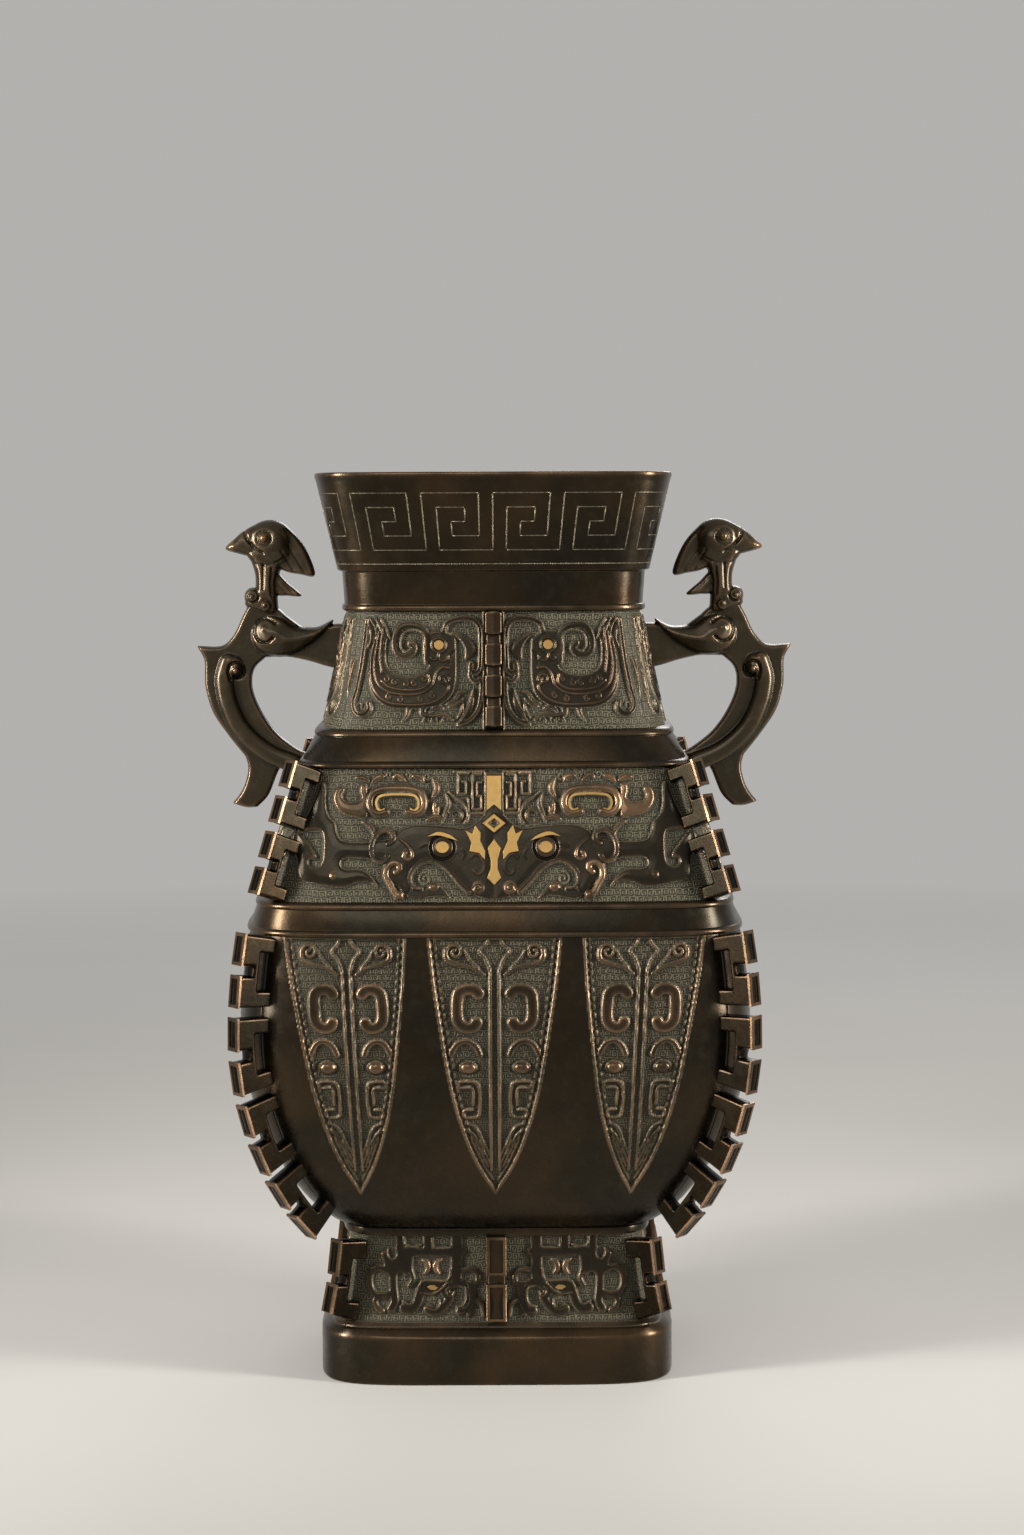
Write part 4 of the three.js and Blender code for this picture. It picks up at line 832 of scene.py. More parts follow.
def dragon_limbs(relief):
    """Body, legs and scrolls as smooth round bands."""
    for width, *points in (
            (5.6, (23.3, 71), (23.4, 60), (23.6, 48)),
            (4.8, (21, 61.8), (36, 61.6), (52, 62.4)),
            (4.6, (37.4, 71), (37.4, 63)),
            (4.2, (51.4, 71), (50.6, 62)),
            (4.2, (54.4, 52), (54.2, 45), (53.6, 38), (55.4, 34.4)),
            (3.6, (57.6, 53), (61.5, 54.2), (65.4, 51.6), (66, 46), (63.6, 41.6), (59, 40.8), (55, 42)),
            (3.0, (60, 41.4), (63.2, 38.6), (62.2, 35.2), (59.6, 33.6)),
            (4.6, (41, 43), (42.4, 38), (45.4, 34.4), (49, 35)),
            (4.4, (20, 47), (26, 46), (29.4, 43), (27, 39.8), (29.4, 36), (33.4, 33), (37.4, 34.4)),
            (4.0, (16.4, 46.4), (15.8, 39), (18, 34.6), (22, 33.4)),
            (2.8, (20.4, 52.8), (16, 53.2), (13.2, 51.2), (13.2, 47.6), (16, 45.4)),
            (2.6, (10, 31.6), (11, 36.4), (14, 38.4), (17, 36.8), (17.4, 31.8)),
            (2.6, (45.4, 60), (45.8, 54), (44.6, 49), (46.2, 45.6))):
        relief.ridge(dragon_line(points), width, foot_top, drop=0.45)


def dragon_head(relief):
    """The head with its open mouth, and the tongue."""
    relief.plate(dragon_line([
        (45.5, 60), (52, 64.4), (60, 61.6), (59, 57), (58, 52), (55.4, 50), (52.6, 50.6), (50, 51.8),
        (47, 50), (45.6, 55), (45.5, 60)]), foot_top, bevel=1.2)
    relief.sink(dragon_line([
        (54.4, 65.4), (52.4, 62), (53, 59), (55, 58.4), (56.8, 60.4), (56.6, 64), (54.4, 65.4)]),
        -ground_depth)
    relief.plate(dragon_line([
        (30, 47.4), (33, 43.4), (37, 41.4), (41.6, 42.6), (42, 46), (39, 47.8), (30, 47.4)]), -0.2,
        bevel=0.9)


def dragon_lines(relief):
    """Cut lines and the two copper leaves."""
    for points in (
            ((26.4, 53), (26.8, 50), (29, 47.9), (38.8, 48), (41.4, 46),
             (43, 41.2), (44.6, 37.2), (47, 36.6), (49.6, 38)),
            ((28.4, 46.8), (31.2, 43.8), (35, 41.8), (41, 42)),
            ((22.6, 45.2), (19.2, 44.2), (18.6, 39.4), (20.2, 36.2), (23.2, 35.4)),
            ((24.8, 42.4), (25.6, 40.6), (27.8, 41.2), (28.6, 43.4), (27, 44.8)),
            ((31.6, 38.6), (31.8, 35.8), (34.2, 34.2), (37.6, 34.9)),
            ((25.4, 64.6), (27, 63.8), (34.4, 64), (35, 68.6)),
            ((40.8, 65.4), (44.6, 64.4), (48.4, 65.6), (48.8, 69.6))):
        relief.ridge(dragon_line(points), 1.1, 0.55, copper=0.3)
    for points in (
            ((30.2, 58.4), (33.2, 56.4), (33.4, 53.2), (31, 50.8)),
            ((40.6, 58.4), (37.6, 56.4), (37.4, 53.2), (39.8, 50.8))):
        relief.leaf(dragon_line(points), 3.0, 0.2, copper=1.0, power=0.7)


def foot_relief():
    """A dragon in smooth relief that faces the middle."""
    relief = Relief(0, 84, ledge_height, foot_height, -ground_depth)
    for part in (dragon_limbs, dragon_head, dragon_lines):
        part(relief)
    relief.ridge([(0, ledge_height + 1.4), (84, ledge_height + 1.4)], 2.8, -0.1, drop=0.2, copper=0.1)
    return relief


# Building the vessel's pieces.

def uv_grid(rows, columns, low, high):
    """Texture places of a grid of points, between two heights of the texture."""
    u, v = np.meshgrid(np.linspace(0.01, 0.99, columns), np.linspace(low, high, rows))
    return np.column_stack([u.ravel(), v.ravel()])


def slab_sides(rows, columns, back_rows, back_columns):
    """Triangles that join the four edges of a slab's fine front to those of its rough back."""
    fine = np.arange(rows * columns).reshape(rows, columns)
    rough = rows * columns + np.arange(back_rows * back_columns).reshape(back_rows, back_columns)
    middle = back_skip // 2
    triangles = []
    for front, back in ((fine[0], rough[0]), (fine[:, -1], rough[:, -1]),
                        (fine[-1, ::-1], rough[-1, ::-1]), (fine[::-1, 0], rough[::-1, 0])):
        for k, (before, after) in enumerate(zip(back[:-1], back[1:])):
            run = front[k * back_skip:(k + 1) * back_skip + 1]
            for i in range(back_skip):
                triangles.append((run[i + 1], run[i], before if i < middle else after))
            triangles.append((run[middle], before, after))
    return np.array(triangles)


def face_slab(name, face, low, high, relief, mirrored=True, step=grid_step):
    """A closed slab that carries one face's relief; its back lies inside the vessel's wall.

    A mirrored drawing is of the right half of a broad face, and is squeezed to fit a side face.
    """
    half, square = section(np.array([(low + high) / 2, low, high]))
    sideways = face in ("left", "right")
    width = 2 * float((half * 0.5 ** (1 / square)).max()) * (depth_ratio if sideways else 1)
    columns = int(width / step // back_skip + 1) * back_skip + 1
    rows = int((high - low) / step // back_skip + 1) * back_skip + 1
    share, z = np.meshgrid(np.linspace(-1, 1, columns), np.linspace(low, high, rows))
    x, y = face_point(face, share, z)
    across = {"front": x, "back": -x, "right": y, "left": -y}[face]
    look = across
    if mirrored:
        look = np.maximum(np.abs(across / depth_ratio if sideways else across), middle_gap)
    lift = relief.sample(relief.height, look, z)
    surface = np.stack([x, y, z], -1)
    normal = np.cross(np.gradient(surface, axis=1), np.gradient(surface, axis=0))
    normal /= np.linalg.norm(normal, axis=-1, keepdims=True)
    front = surface + normal * lift[..., None]
    back = (surface - normal * slab_back)[::back_skip, ::back_skip]
    back_rows, back_columns = back.shape[:2]
    points = np.vstack([front.reshape(-1, 3), back.reshape(-1, 3)])
    faces = [grid_quads(rows, columns), grid_quads(back_rows, back_columns, rows * columns, flip=True),
             slab_sides(rows, columns, back_rows, back_columns)]
    fields = {
        "figure": relief.sample(relief.figure, look, z),
        "copper": relief.sample(relief.copper, look, z),
        "cavity": lift - relief.sample(relief.soft, look, z),
        "panel": relief.sample(relief.panel, look, z),
        "across": across,
        "up": z,
    }
    filler = np.zeros(back_rows * back_columns)
    attributes = {key: np.concatenate([field.ravel(), filler]) for key, field in fields.items()}
    uv = np.vstack([uv_grid(rows, columns, 0.05, 0.99), uv_grid(back_rows, back_columns, 0.005, 0.035)])
    return make_mesh(name, points, faces, attributes, uv)


def ring_points(half, square, z, offset):
    """One level section as points spaced evenly along its line."""
    angle = np.linspace(0, 2 * math.pi, fine_round)
    cosine, sine = np.cos(angle), np.sin(angle)
    radius = reach_towards(cosine, sine, half, square, offset)
    x, y = radius * cosine, radius * sine
    length = lengths_along(x, y)
    even = np.linspace(0, length[-1], core_columns, endpoint=False)
    level = np.full(core_columns, float(z))
    return np.column_stack([np.interp(even, length, x), np.interp(even, length, y), level])


def rounded(rows, radius, steps):
    """Rounds the corners of a profile given as rows of height, half width and squareness."""
    out = [rows[0]]
    for a, b, c in zip(*(np.array(part, float) for part in (rows[:-2], rows[1:-1], rows[2:]))):
        before, after = np.linalg.norm((a - b)[:2]), np.linalg.norm((c - b)[:2])
        start = b + (a - b) * min(radius, before * 0.45) / max(before, 1e-9)
        end = b + (c - b) * min(radius, after * 0.45) / max(after, 1e-9)
        for t in np.linspace(0, 1, steps + 1):
            out.append(tuple(start * (1 - t) ** 2 + 2 * b * t * (1 - t) + end * t ** 2))
    out.append(rows[-1])
    return out


def lathe(name, rows):
    """A closed body through level sections: height, half width, squareness, offset and copper share."""
    count = len(rows)
    points = np.vstack([ring_points(half, square, z, offset) for z, half, square, offset, _ in rows])
    row, column = np.meshgrid(np.arange(count), np.arange(core_columns), indexing="ij")
    row, column = row.ravel(), column.ravel()
    above, beside = (row + 1) % count * core_columns, (column + 1) % core_columns
    here = row * core_columns
    quads = np.column_stack([here + column, here + beside, above + beside, above + column])
    outline = np.array([(z, half + offset) for z, half, _, offset, _ in rows])
    run = lengths_along(*outline.T)
    run = 0.01 + 0.97 * run / run[-1]
    round_to = np.linspace(0.01, 0.985, core_columns)
    uv = np.column_stack([np.tile(round_to, count), np.repeat(run, core_columns)])
    copper = np.repeat([row[4] for row in rows], core_columns)
    return make_mesh(name, points, quads, {"copper": copper}, uv)


core_columns, fine_round = 432, 1441
core_step, hidden_step = 3, 5
ridge_half, ridge_rise = 1.6, 1.3


def outside_row(z, offset, copper=0.0):
    """One row of the lathe on the vessel's outside."""
    half, square = section(z)
    return float(z), float(half), float(square), offset, copper


def ridge_bead(z):
    """Rows of a raised wire round the vessel."""
    rows = []
    for angle in np.radians(np.linspace(-90, 90, 8)):
        up, out = math.sin(angle), math.cos(angle)
        rows.append(outside_row(z + ridge_half * up, ridge_rise * out - 0.15, 0.3 * out ** 2))
    return rows


def outside_rows(low, high, step, offset):
    """Rows up the plain outside between two heights."""
    return [outside_row(z, offset) for z in np.linspace(low, high, max(2, int((high - low) / step)))]


def inside_rows(high, low, count):
    """Rows down the inside of the wall, which is thinner in the lip."""
    lip_wall = rim_wall + 0.6
    heights = np.linspace(high, low, count)
    return [outside_row(z, -wall if z < collar_height else -lip_wall) for z in heights]


def edged(profile_rows, copper_at=()):
    """Rows with no offset, coppery near some heights: each has a height, a reach and an amount."""
    rows = []
    for z, half, square in profile_rows:
        near = [amount * max(0.0, 1 - abs(z - at) / reach) for at, reach, amount in copper_at]
        rows.append((z, half, square, 0.0, 0.6 * max(near, default=0.0)))
    return rows


def foot_rows():
    """The base, the ledge, the plain foot behind its relief, and the ring over it."""
    ledge_half = base_half - ledge_inset
    base = rounded([(0.0, base_half - 2.5, base_square), (0.0, base_half, base_square),
                    (base_height, base_half, base_square), (ledge_height, ledge_half, foot_square),
                    (ledge_height + 0.4, ledge_half - core_inset, foot_square)], 1.6, 5)
    ring = rounded([(foot_height - 0.3, foot_half - core_inset, foot_square),
                    (foot_height - 0.2, foot_half + ring_step, belly_square),
                    (ring_height - 0.4, foot_half + ring_step, belly_square),
                    (ring_height + 0.6, foot_half + 0.5, belly_square)], 0.9, 4)
    rows = edged(base, [(0, 1.2, 0.5), (base_height, 1.6, 0.45), (ledge_height, 1.2, 0.3)])
    rows += outside_rows(ledge_height + 2, foot_height - 0.5, 4, -core_inset)
    return rows + edged(ring, [(foot_height, 0.8, 0.3)])


def body_rows():
    """The outside from the belly to the neck: five raised wires, plain bands and covered ground."""
    rows = outside_rows(ring_height + 3, band_bottom - 2.2, 4, -core_inset) + ridge_bead(band_bottom)
    rows += outside_rows(band_bottom + 1.9, band_top - 1.9, core_step, -0.1) + ridge_bead(band_top)
    rows += outside_rows(band_top + 2.2, shoulder_height - 2.2, hidden_step, -core_inset)
    rows += ridge_bead(shoulder_height)
    rows += outside_rows(shoulder_height + 1.9, neck_bottom - 1.9, core_step, -0.1)
    rows += ridge_bead(neck_bottom)
    rows += outside_rows(neck_bottom + 2.2, neck_top - 2.2, hidden_step, -core_inset)
    return rows + ridge_bead(neck_top)


def lip_rows():
    """The collar and the lip, over its edge and a little way in."""
    inner = rim_half - rim_wall
    corners = ((neck_top + 1.9, neck_top_half), (collar_height - 0.2, collar_half),
               (collar_height + 0.2, collar_half + collar_step), (rim_height - 4, rim_half - 0.9),
               (rim_height - 1.4, rim_half), (rim_height, rim_half - 0.4), (rim_height, inner),
               (rim_height - 3, inner - 0.8))
    lip = rounded([(z, half, neck_square) for z, half in corners], 0.7, 4)
    return edged(lip, [(collar_height, 0.9, 0.4), (rim_height, 2.4, 1.0)])


def floor_rows():
    """The inside's bottom, the seat of the floor plate, and the hollow of the foot below it."""
    floor_top = ring_height + 1.5
    corners = ((ring_height + 6, 66.0), (floor_top, 60.0), (floor_top - 0.5, 62.5),
               (ring_height - 0.2, 62.6), (ring_height - 0.2, 66.4), (ring_height - 5.6, 66.4))
    rows = edged(rounded([(z, half, belly_square) for z, half in corners], 0.8, 3))
    rows += inside_rows(ring_height - 9, ledge_height, 6)
    for z, deeper in ((base_height, ledge_inset), (2.0, 2), (0.4, 1)):
        rows.append((z, base_half, base_square, -wall - deeper, 0.0))
    return rows


def vessel_core():
    """The plain outside, lip, inside and underside as one closed body; relief slabs lie over it."""
    rows = foot_rows() + body_rows() + lip_rows()
    return lathe("vessel_core", rows + inside_rows(rim_height - 8, ring_height + 8, 28) + floor_rows())


# Handles: half a thickness drawn over the plane of the handle, turned into a closed surface.

voxel, flange_voxel, block_voxel = 0.6, 0.55, 0.45
handle_eye = (113, 408.6)
handle_overlap = 2.2
outside_level = -4.0


def handle_arm(shape):
    """The flat arm with its spur and tail, and the raised band that starts over a scroll."""
    outer = smooth([
        (147.4, 355.6), (143.8, 348.6), (143.6, 341), (143.2, 334), (139.8, 322.5), (132.2, 311),
        (123.8, 300.4)])
    tail = smooth([(123.8, 300.4), (122.6, 294.5), (124.2, 287), (127, 281.6), (130.6, 277.2)])
    tail_end = smooth([(130.6, 277.2), (124.4, 275.2), (118.4, 275.2)])
    tail_inner = smooth([(118.4, 275.2), (112.6, 281.6), (107, 294.4), (101, 298.2), (84, 300.4)])
    inner = smooth([
        (88, 302.0), (95, 302.8), (101.6, 306.8), (108.6, 312.8), (114.8, 321.4), (119.2, 331),
        (120.3, 338.6), (118.6, 344.8), (113.4, 349.8)])
    under = smooth([(113.4, 349.8), (104, 350.2), (93, 348.2), (80, 344.6), (68, 344.4)])
    chest = smooth([(68, 366), (79.6, 366), (90, 362.4), (101, 369), (108, 374.4), (121, 376.6)])
    shoulder = smooth([(121, 376.6), (124.6, 370), (129, 361), (135.4, 355.4), (147.4, 355.6)])
    back = [outer, tail[1:], tail_end[1:], tail_inner[1:], inner]
    front = [under[1:], chest, shoulder[1:]]
    shape.solid(np.vstack(back + front), 3.7, 1.3)
    shape.rib(smooth([
        (131.6, 347.2), (133.7, 340), (133.2, 333), (131.4, 326), (126.8, 316), (119.4, 307.6),
        (111, 301.6), (100, 297)]), 9.8, 6.9, taper=(0.88, 0.95), base=4.1)
    shape.lump((129.2, 346.4), 5.8, 5.6, 7.0)
    shape.lump((127.8, 343.4), 3.0, 3.0, 8.2)


def handle_wing(shape):
    """The wing over the loop, with its boss."""
    wing = smooth([
        (79.6, 368.2), (88, 364.6), (98, 365.6), (104.6, 369.6), (112, 370.8), (118.6, 367), (120.6, 360.6),
        (118, 353.6), (111, 350.4), (101, 350.6), (92, 355), (85, 360.6), (79.6, 368.2)])
    shape.solid(wing, 5.4, 2.8, crown=3.4)
    shape.lump((113.2, 363.6), 4.4, 4.2, 8.6)


def bird_head(shape):
    """Throat, curls, head and beak."""
    shape.solid(smooth([
        (107.6, 371), (107.2, 380), (107.2, 388), (105, 394), (101.8, 399.6), (112, 406), (122, 402),
        (119.8, 396.5), (118.2, 391), (118, 384.5), (119.6, 380.6), (123.4, 376), (116, 371.6),
        (107.6, 371)]), 5.8, 4.4)
    shape.lump((112.8, 375.6), 4.2, 4.2, 7.6)
    shape.lump((119.2, 379.8), 4.4, 4.5, 7.0)
    shape.lump((110.6, 407.2), 11.8, 10.4, 8.2)
    shape.lump((108.8, 401.6), 10.2, 8.4, 7.0)
    shape.solid(smooth([
        (115.6, 415.4), (122.8, 412.8), (128, 408.6), (132.8, 403.6), (126.6, 401.2), (120.4, 400),
        (115.6, 401.2), (112, 408), (115.6, 415.4)]), 5.4, 5.0)


def bird_crest(shape):
    """Two crest plumes with ribs over the upper one."""
    upper = [
        (106, 415.6), (99, 411.4), (92.6, 402.6), (88.6, 390.4), (96, 390.8), (103.4, 392.4), (109, 396.6),
        (110, 404), (106, 415.6)]
    lower = [(107.6, 391.4), (101.6, 386.2), (95.2, 380.2), (102, 380.2), (108.2, 381.4), (107.6, 391.4)]
    shape.solid(smooth(upper), 4.2, 2.0)
    shape.solid(smooth(lower), 3.4, 2.0)
    for a, b in (
            ((101.6, 409.6), (90.8, 392.4)), ((103.6, 404.6), (96, 391.8)), ((106, 401), (101.4, 393.2))):
        middle = ((a[0] + b[0]) / 2 - 0.6, (a[1] + b[1]) / 2 + 0.6)
        shape.rib([a, middle, b], 2.4, 4.4, taper=(1, 0.5), base=2.0)


def handle_cuts(shape):
    """The scrolls' lines, the ring of the eye, and the lines of the throat and the plumes."""
    shape.groove(smooth([
        (130.6, 338.4), (131.6, 343), (130.2, 346.6), (126.6, 347.4), (124, 344.6), (124.6, 340.8),
        (128, 339.8)]), 1.5, 1.7)
    shape.groove(smooth([
        (107.4, 366.2), (112, 369), (116.8, 367.2), (118.4, 362.6), (116.4, 358.4), (112, 357.4),
        (108.8, 359.8)]), 1.5, 1.8)
    shape.groove(curl((112.8, 375.6), 2.9, 0.8, 200, -1.2), 1.2, 1.3)
    shape.groove(curl((119.2, 379.8), 3.1, 0.8, 180, 1.2), 1.2, 1.3)
    shape.groove(smooth([(109.4, 394), (110.2, 387), (109.8, 380.4)]), 1.3, 1.1)
    shape.groove(smooth([(113.6, 396), (113.8, 389), (114, 383.4)]), 1.3, 1.1)
    shape.groove(smooth([(123.4, 413), (121.4, 407.8), (117, 403.4), (113.6, 401.6)]), 1.4, 1.5)
    shape.groove(arc(handle_eye, 3.6, 0, 360), 1.4, 1.1)
    shape.groove(smooth([(121.6, 397.6), (114.6, 395.4), (108, 396.4), (102.6, 399.4)]), 1.0, 0.7)
    for a, b in (((102.6, 407), (93.6, 392.2)), ((104.8, 402.4), (98.8, 392.6))):
        shape.groove([a, b], 0.9, 0.8)
    shape.groove([(106.4, 388.4), (99, 381.6)], 0.9, 0.7)
    shape.groove([(107.4, 385), (102.4, 381.4)], 0.8, 0.6)


def handle_thickness():
    """Half the handle's thickness over its own plane: out from the axis and up."""
    shape = Relief(66, 152, 268, 422, outside_level)
    for part in (handle_arm, handle_wing, bird_head, bird_crest, handle_cuts):
        part(shape)
    for _ in range(2):
        shape.soften(0.6)
    return shape


def plate_body(thickness, deepest, size, trim=None):
    """Points, quads and bumpiness of a plate from half its thickness; trim is a field that cuts it."""
    x = np.arange(thickness.x[0], thickness.x[-1], size)
    z = np.arange(thickness.z[0], thickness.z[-1], size)
    y = np.arange(-deepest, deepest + size, size)
    half = thickness.sample(thickness.height, *np.meshgrid(x, z, indexing="ij"))
    slope_x, slope_z = np.gradient(half, size)
    steep = np.sqrt(1 + np.minimum(slope_x ** 2 + slope_z ** 2, 9.0))
    field = (np.abs(y)[None, :, None] - half[:, None, :]) / steep[:, None, :]
    if trim is not None:
        field = np.maximum(field, trim(x, y, z))
    grid = vdb.FloatGrid(background=3.0)
    grid.copyFromArray(np.clip(field, -3, 3).astype(np.float32))
    points, quads = grid.convertToQuads(isovalue=0.0)
    points, quads = points.astype(float) * size + np.array([x[0], y[0], z[0]]), quads.astype(np.int64)
    for _ in range(2):
        points = points + (neighbour_mean(points, quads, len(points)) - points) * 0.35
    quads = facing_out(points, quads)
    return points, quads, bumpiness(points, quads)


def turned(points, quads, signs):
    """A mirrored copy of a body, with its faces still pointing out."""
    flipped = signs[0] * signs[1] < 0
    return points * np.array([signs[0], signs[1], 1]), quads[:, ::-1] if flipped else quads


def handle_trim(x, y, z):
    """Distance field that ends the handle at the vessel."""
    half, square = section(z)
    share = np.abs(y)[:, None] / (half * depth_ratio)[None, :]
    surface = half[None, :] * (1 - np.clip(share, 0, 0.99) ** square[None, :]) ** (1 / square[None, :])
    return (surface[None, :, :] - handle_overlap) - x[:, None, None]


def handles():
    """Both bird handles, with the nodes that they stand for."""
    points, quads, bump = plate_body(handle_thickness(), 10.0, voxel, handle_trim)
    beak_tip = np.clip((points[:, 0] - 127.6) / 2.4, 0, 1) * (points[:, 2] > 398)
    made = []
    for side, sign in (("right", 1), ("left", -1)):
        mirrored, faces = turned(points, quads, (sign, 1))
        attributes = {"cavity": bump, "copper": beak_tip}
        made.append((make_mesh(f"bird_handle_{side}", mirrored, faces, attributes), f"handle_{side}"))
    return made


def handle_eyes():
    """The birds' eye studs, one on each cheek, with the nodes that they stand for."""
    columns, rows = 24, 13
    theta, phi = np.meshgrid(np.linspace(0, 2 * math.pi, columns, endpoint=False),
                             np.linspace(0.06, math.pi - 0.06, rows))
    ball = np.stack([np.cos(theta) * np.sin(phi), np.sin(theta) * np.sin(phi), np.cos(phi)], -1)
    index = np.arange(rows * columns).reshape(rows, columns)
    beside = np.roll(index, -1, axis=1)
    quads = np.stack([index[:-1], index[1:], beside[1:], beside[:-1]], -1).reshape(-1, 4)
    faces = [quads, index[0][None, :], index[-1][::-1][None, :]]
    made = []
    for side, across in (("right", 1), ("left", -1)):
        for face, deep in (("front", -1), ("back", 1)):
            centre = (handle_eye[0] * across, 7.0 * deep, handle_eye[1])
            points = ball.reshape(-1, 3) * (2.5, 2.4, 2.5) + centre
            stud = make_mesh(f"bird_eye_stud_{side}_{face}", points, faces)
            made.append((stud, f"handle_eye_{side}_{face}"))
    return made


def neighbour_mean(values, quads, count):
    """The mean of each point's neighbours along the edges of its quads, for one or more values a point."""
    columns = values.reshape(count, -1)
    total = np.zeros(columns.shape)
    number = np.zeros(count)
    for start, end in ((0, 1), (1, 2), (2, 3), (3, 0)):
        for here, there in ((quads[:, start], quads[:, end]), (quads[:, end], quads[:, start])):
            for axis in range(columns.shape[1]):
                total[:, axis] += np.bincount(here, columns[there, axis], count)
            number += np.bincount(here, minlength=count)
    return (total / np.maximum(number, 1)[:, None]).reshape(values.shape)


def point_normals(points, quads):
    """Unit normals at the points of a mesh of quads."""
    face = np.cross(points[quads[:, 2]] - points[quads[:, 0]], points[quads[:, 3]] - points[quads[:, 1]])
    out = np.zeros_like(points)
    for corner in range(4):
        for axis in range(3):
            out[:, axis] += np.bincount(quads[:, corner], face[:, axis], len(points))
    return out / np.maximum(np.linalg.norm(out, axis=1, keepdims=True), 1e-9)


def facing_out(points, quads):
    """The quads of a closed body, turned so that they point outwards."""
    a, b, c, d = (points[quads[:, k]] for k in range(4))
    volume = np.einsum("ij,ij->i", a, np.cross(b, c)).sum() + np.einsum("ij,ij->i", a, np.cross(c, d)).sum()
    return quads[:, ::-1] if volume < 0 else quads


def bumpiness(points, quads):
    """How far each point stands above its surroundings, along its normal: edges above 0, hollows below."""
    mean = points
    for _ in range(6):
        mean = neighbour_mean(mean, quads, len(points))
    bump = np.einsum("ij,ij->i", points - mean, point_normals(points, quads))
    for _ in range(2):
        bump = neighbour_mean(bump, quads, len(points))
    return bump


# Flanges: drawn flat, as distance down a line of the surface and distance out, then bent to it.

flange_half = 4.2
tooth_gap = 4.4
flange_root = 2.6
flange_bevel = 0.9
below_wire = ridge_half + 0.3
block_reach = 5.0
diagonal = np.array([1.0, depth_ratio]) / math.hypot(1.0, depth_ratio)

# Steps of a worn frame round the sunk face of a tooth, which is darkened as painted shade: how far in from
# its edge, and how far out.
frame_steps = ((0, -1.0), (0, 0.15), (0.3, 0.4), (1.5, 0.4), (1.9, -0.35))


def surface_line(highest, lowest, direction):
    """Points down the surface in one upright plane: distance along, distance from the axis and height."""
    z = np.linspace(highest, lowest, 240)
    out = reach_towards(*direction, *section(z))
    return lengths_along(out, z), out, z


def flat_drawing(length, reach):
    """An empty drawing for a flange of some length and reach."""
    return Relief(-3, length + 3, -4, reach + 3, outside_level)


def toothed(length, pairs, reach):
    """Half the thickness of a toothed flange: each pair of teeth is joined by a bar over an open slot."""
    shape = flat_drawing(length, reach)
    spans = tooth_spans(length, pairs)
    bar, slot, leg, root = reach * 0.58, reach * 0.36, spans[0][1] * 0.55, -flange_root
    for (start, end), (next_start, next_end) in zip(spans[::2], spans[1::2]):
        shape.solid([
            (start, root), (start, reach), (end, reach), (end, bar), (next_start, bar), (next_start, reach),
            (next_end, reach), (next_end, root), (next_end - leg, root), (next_end - leg, slot),
            (start + leg, slot), (start + leg, root)], flange_half, flange_bevel)
    return shape


def bent(points, line, direction):
    """Flat flange points (along, across, out) laid along a line of the surface, in its upright plane."""
    along, out, z = line
    place_along, across, proud = points.T
    lean_out = -np.interp(place_along, along, np.gradient(z, along))
    lean_up = np.interp(place_along, along, np.gradient(out, along))
    size = np.hypot(lean_out, lean_up)
    radial = np.interp(place_along, along, out) + lean_out / size * proud
    height = np.interp(place_along, along, z) + lean_up / size * proud
    return np.column_stack([radial * direction[0] - across * direction[1],
                            radial * direction[1] + across * direction[0], height])


def framed_ends(name, spans, line, direction, reach, half):
    """Worn frames round a sunk face darkened with painted shade, on the outer ends of teeth or blocks."""
    points, quads, cavity = [], [], []
    for start, end in spans:
        first = len(points)
        for inset, proud in frame_steps:
            for along, across in ((start + inset, -half + inset), (end - inset, -half + inset),
                                  (end - inset, half - inset), (start + inset, half - inset)):
                points.append((along, across, reach + proud))
            # The sunk face is marked for painted shade, the frame for worn copper.
            cavity += [-0.6 if proud < 0 < inset else 0.4] * 4
        last = first + (len(frame_steps) - 1) * 4
        for ring in range(first, last, 4):
            for here, beside in ((0, 1), (1, 2), (2, 3), (3, 0)):
                quads.append((ring + here, ring + beside, ring + beside + 4, ring + here + 4))
        quads += [(first + 3, first + 2, first + 1, first), (last, last + 1, last + 2, last + 3)]
    points = bent(np.array(points, float), line, direction)
    return make_mesh(name, points, facing_out(points, np.array(quads)), {"cavity": cavity}, flat=True)


def tooth_spans(length, pairs):
    """Where each tooth of a flange starts and ends."""
    pitch = (length + tooth_gap) / (pairs * 2)
    return [(i * pitch, (i + 1) * pitch - tooth_gap) for i in range(pairs * 2)]


def bent_body(drawing, half, size, line, direction):
    """Points, quads and bumpiness of a flat drawn flange, bent to a line of the surface."""
    points, quads, bump = plate_body(drawing, half + 1.5, size)
    points = bent(points, line, direction)
    return points, facing_out(points, quads), bump


def corner_flanges():
    """The three tiers of flanges on the four corners, with the nodes that they stand for."""
    tiers = (("shoulder", shoulder_height - below_wire, band_top + below_wire, 2, 14.0),
             ("belly", band_bottom - below_wire, ring_height + 10, 4, 16.5),
             ("foot", foot_height - flange_root, ledge_height + flange_root, 1, 13.8))
    corners = (("front_right", 1, -1), ("front_left", -1, -1), ("back_right", 1, 1), ("back_left", -1, 1))
    made = []
    for tier, highest, lowest, pairs, reach in tiers:
        line = surface_line(highest, lowest, diagonal)
        length = line[0][-1]
        shape = toothed(length, pairs, reach)
        points, quads, bump = bent_body(shape, flange_half, flange_voxel, line, diagonal)
        for corner, across, deep in corners:
            mirrored, faces = turned(points, quads, (across, deep))
            teeth = make_mesh(f"{tier}_teeth_{corner}", mirrored, faces, {"cavity": bump})
            ends = framed_ends(f"{tier}_tooth_ends_{corner}", tooth_spans(length, pairs), line,
                               diagonal * (across, deep), reach, flange_half)
            made += [(teeth, f"{tier}_flange_{corner}"), (ends, f"{tier}_flange_{corner}")]
    return made


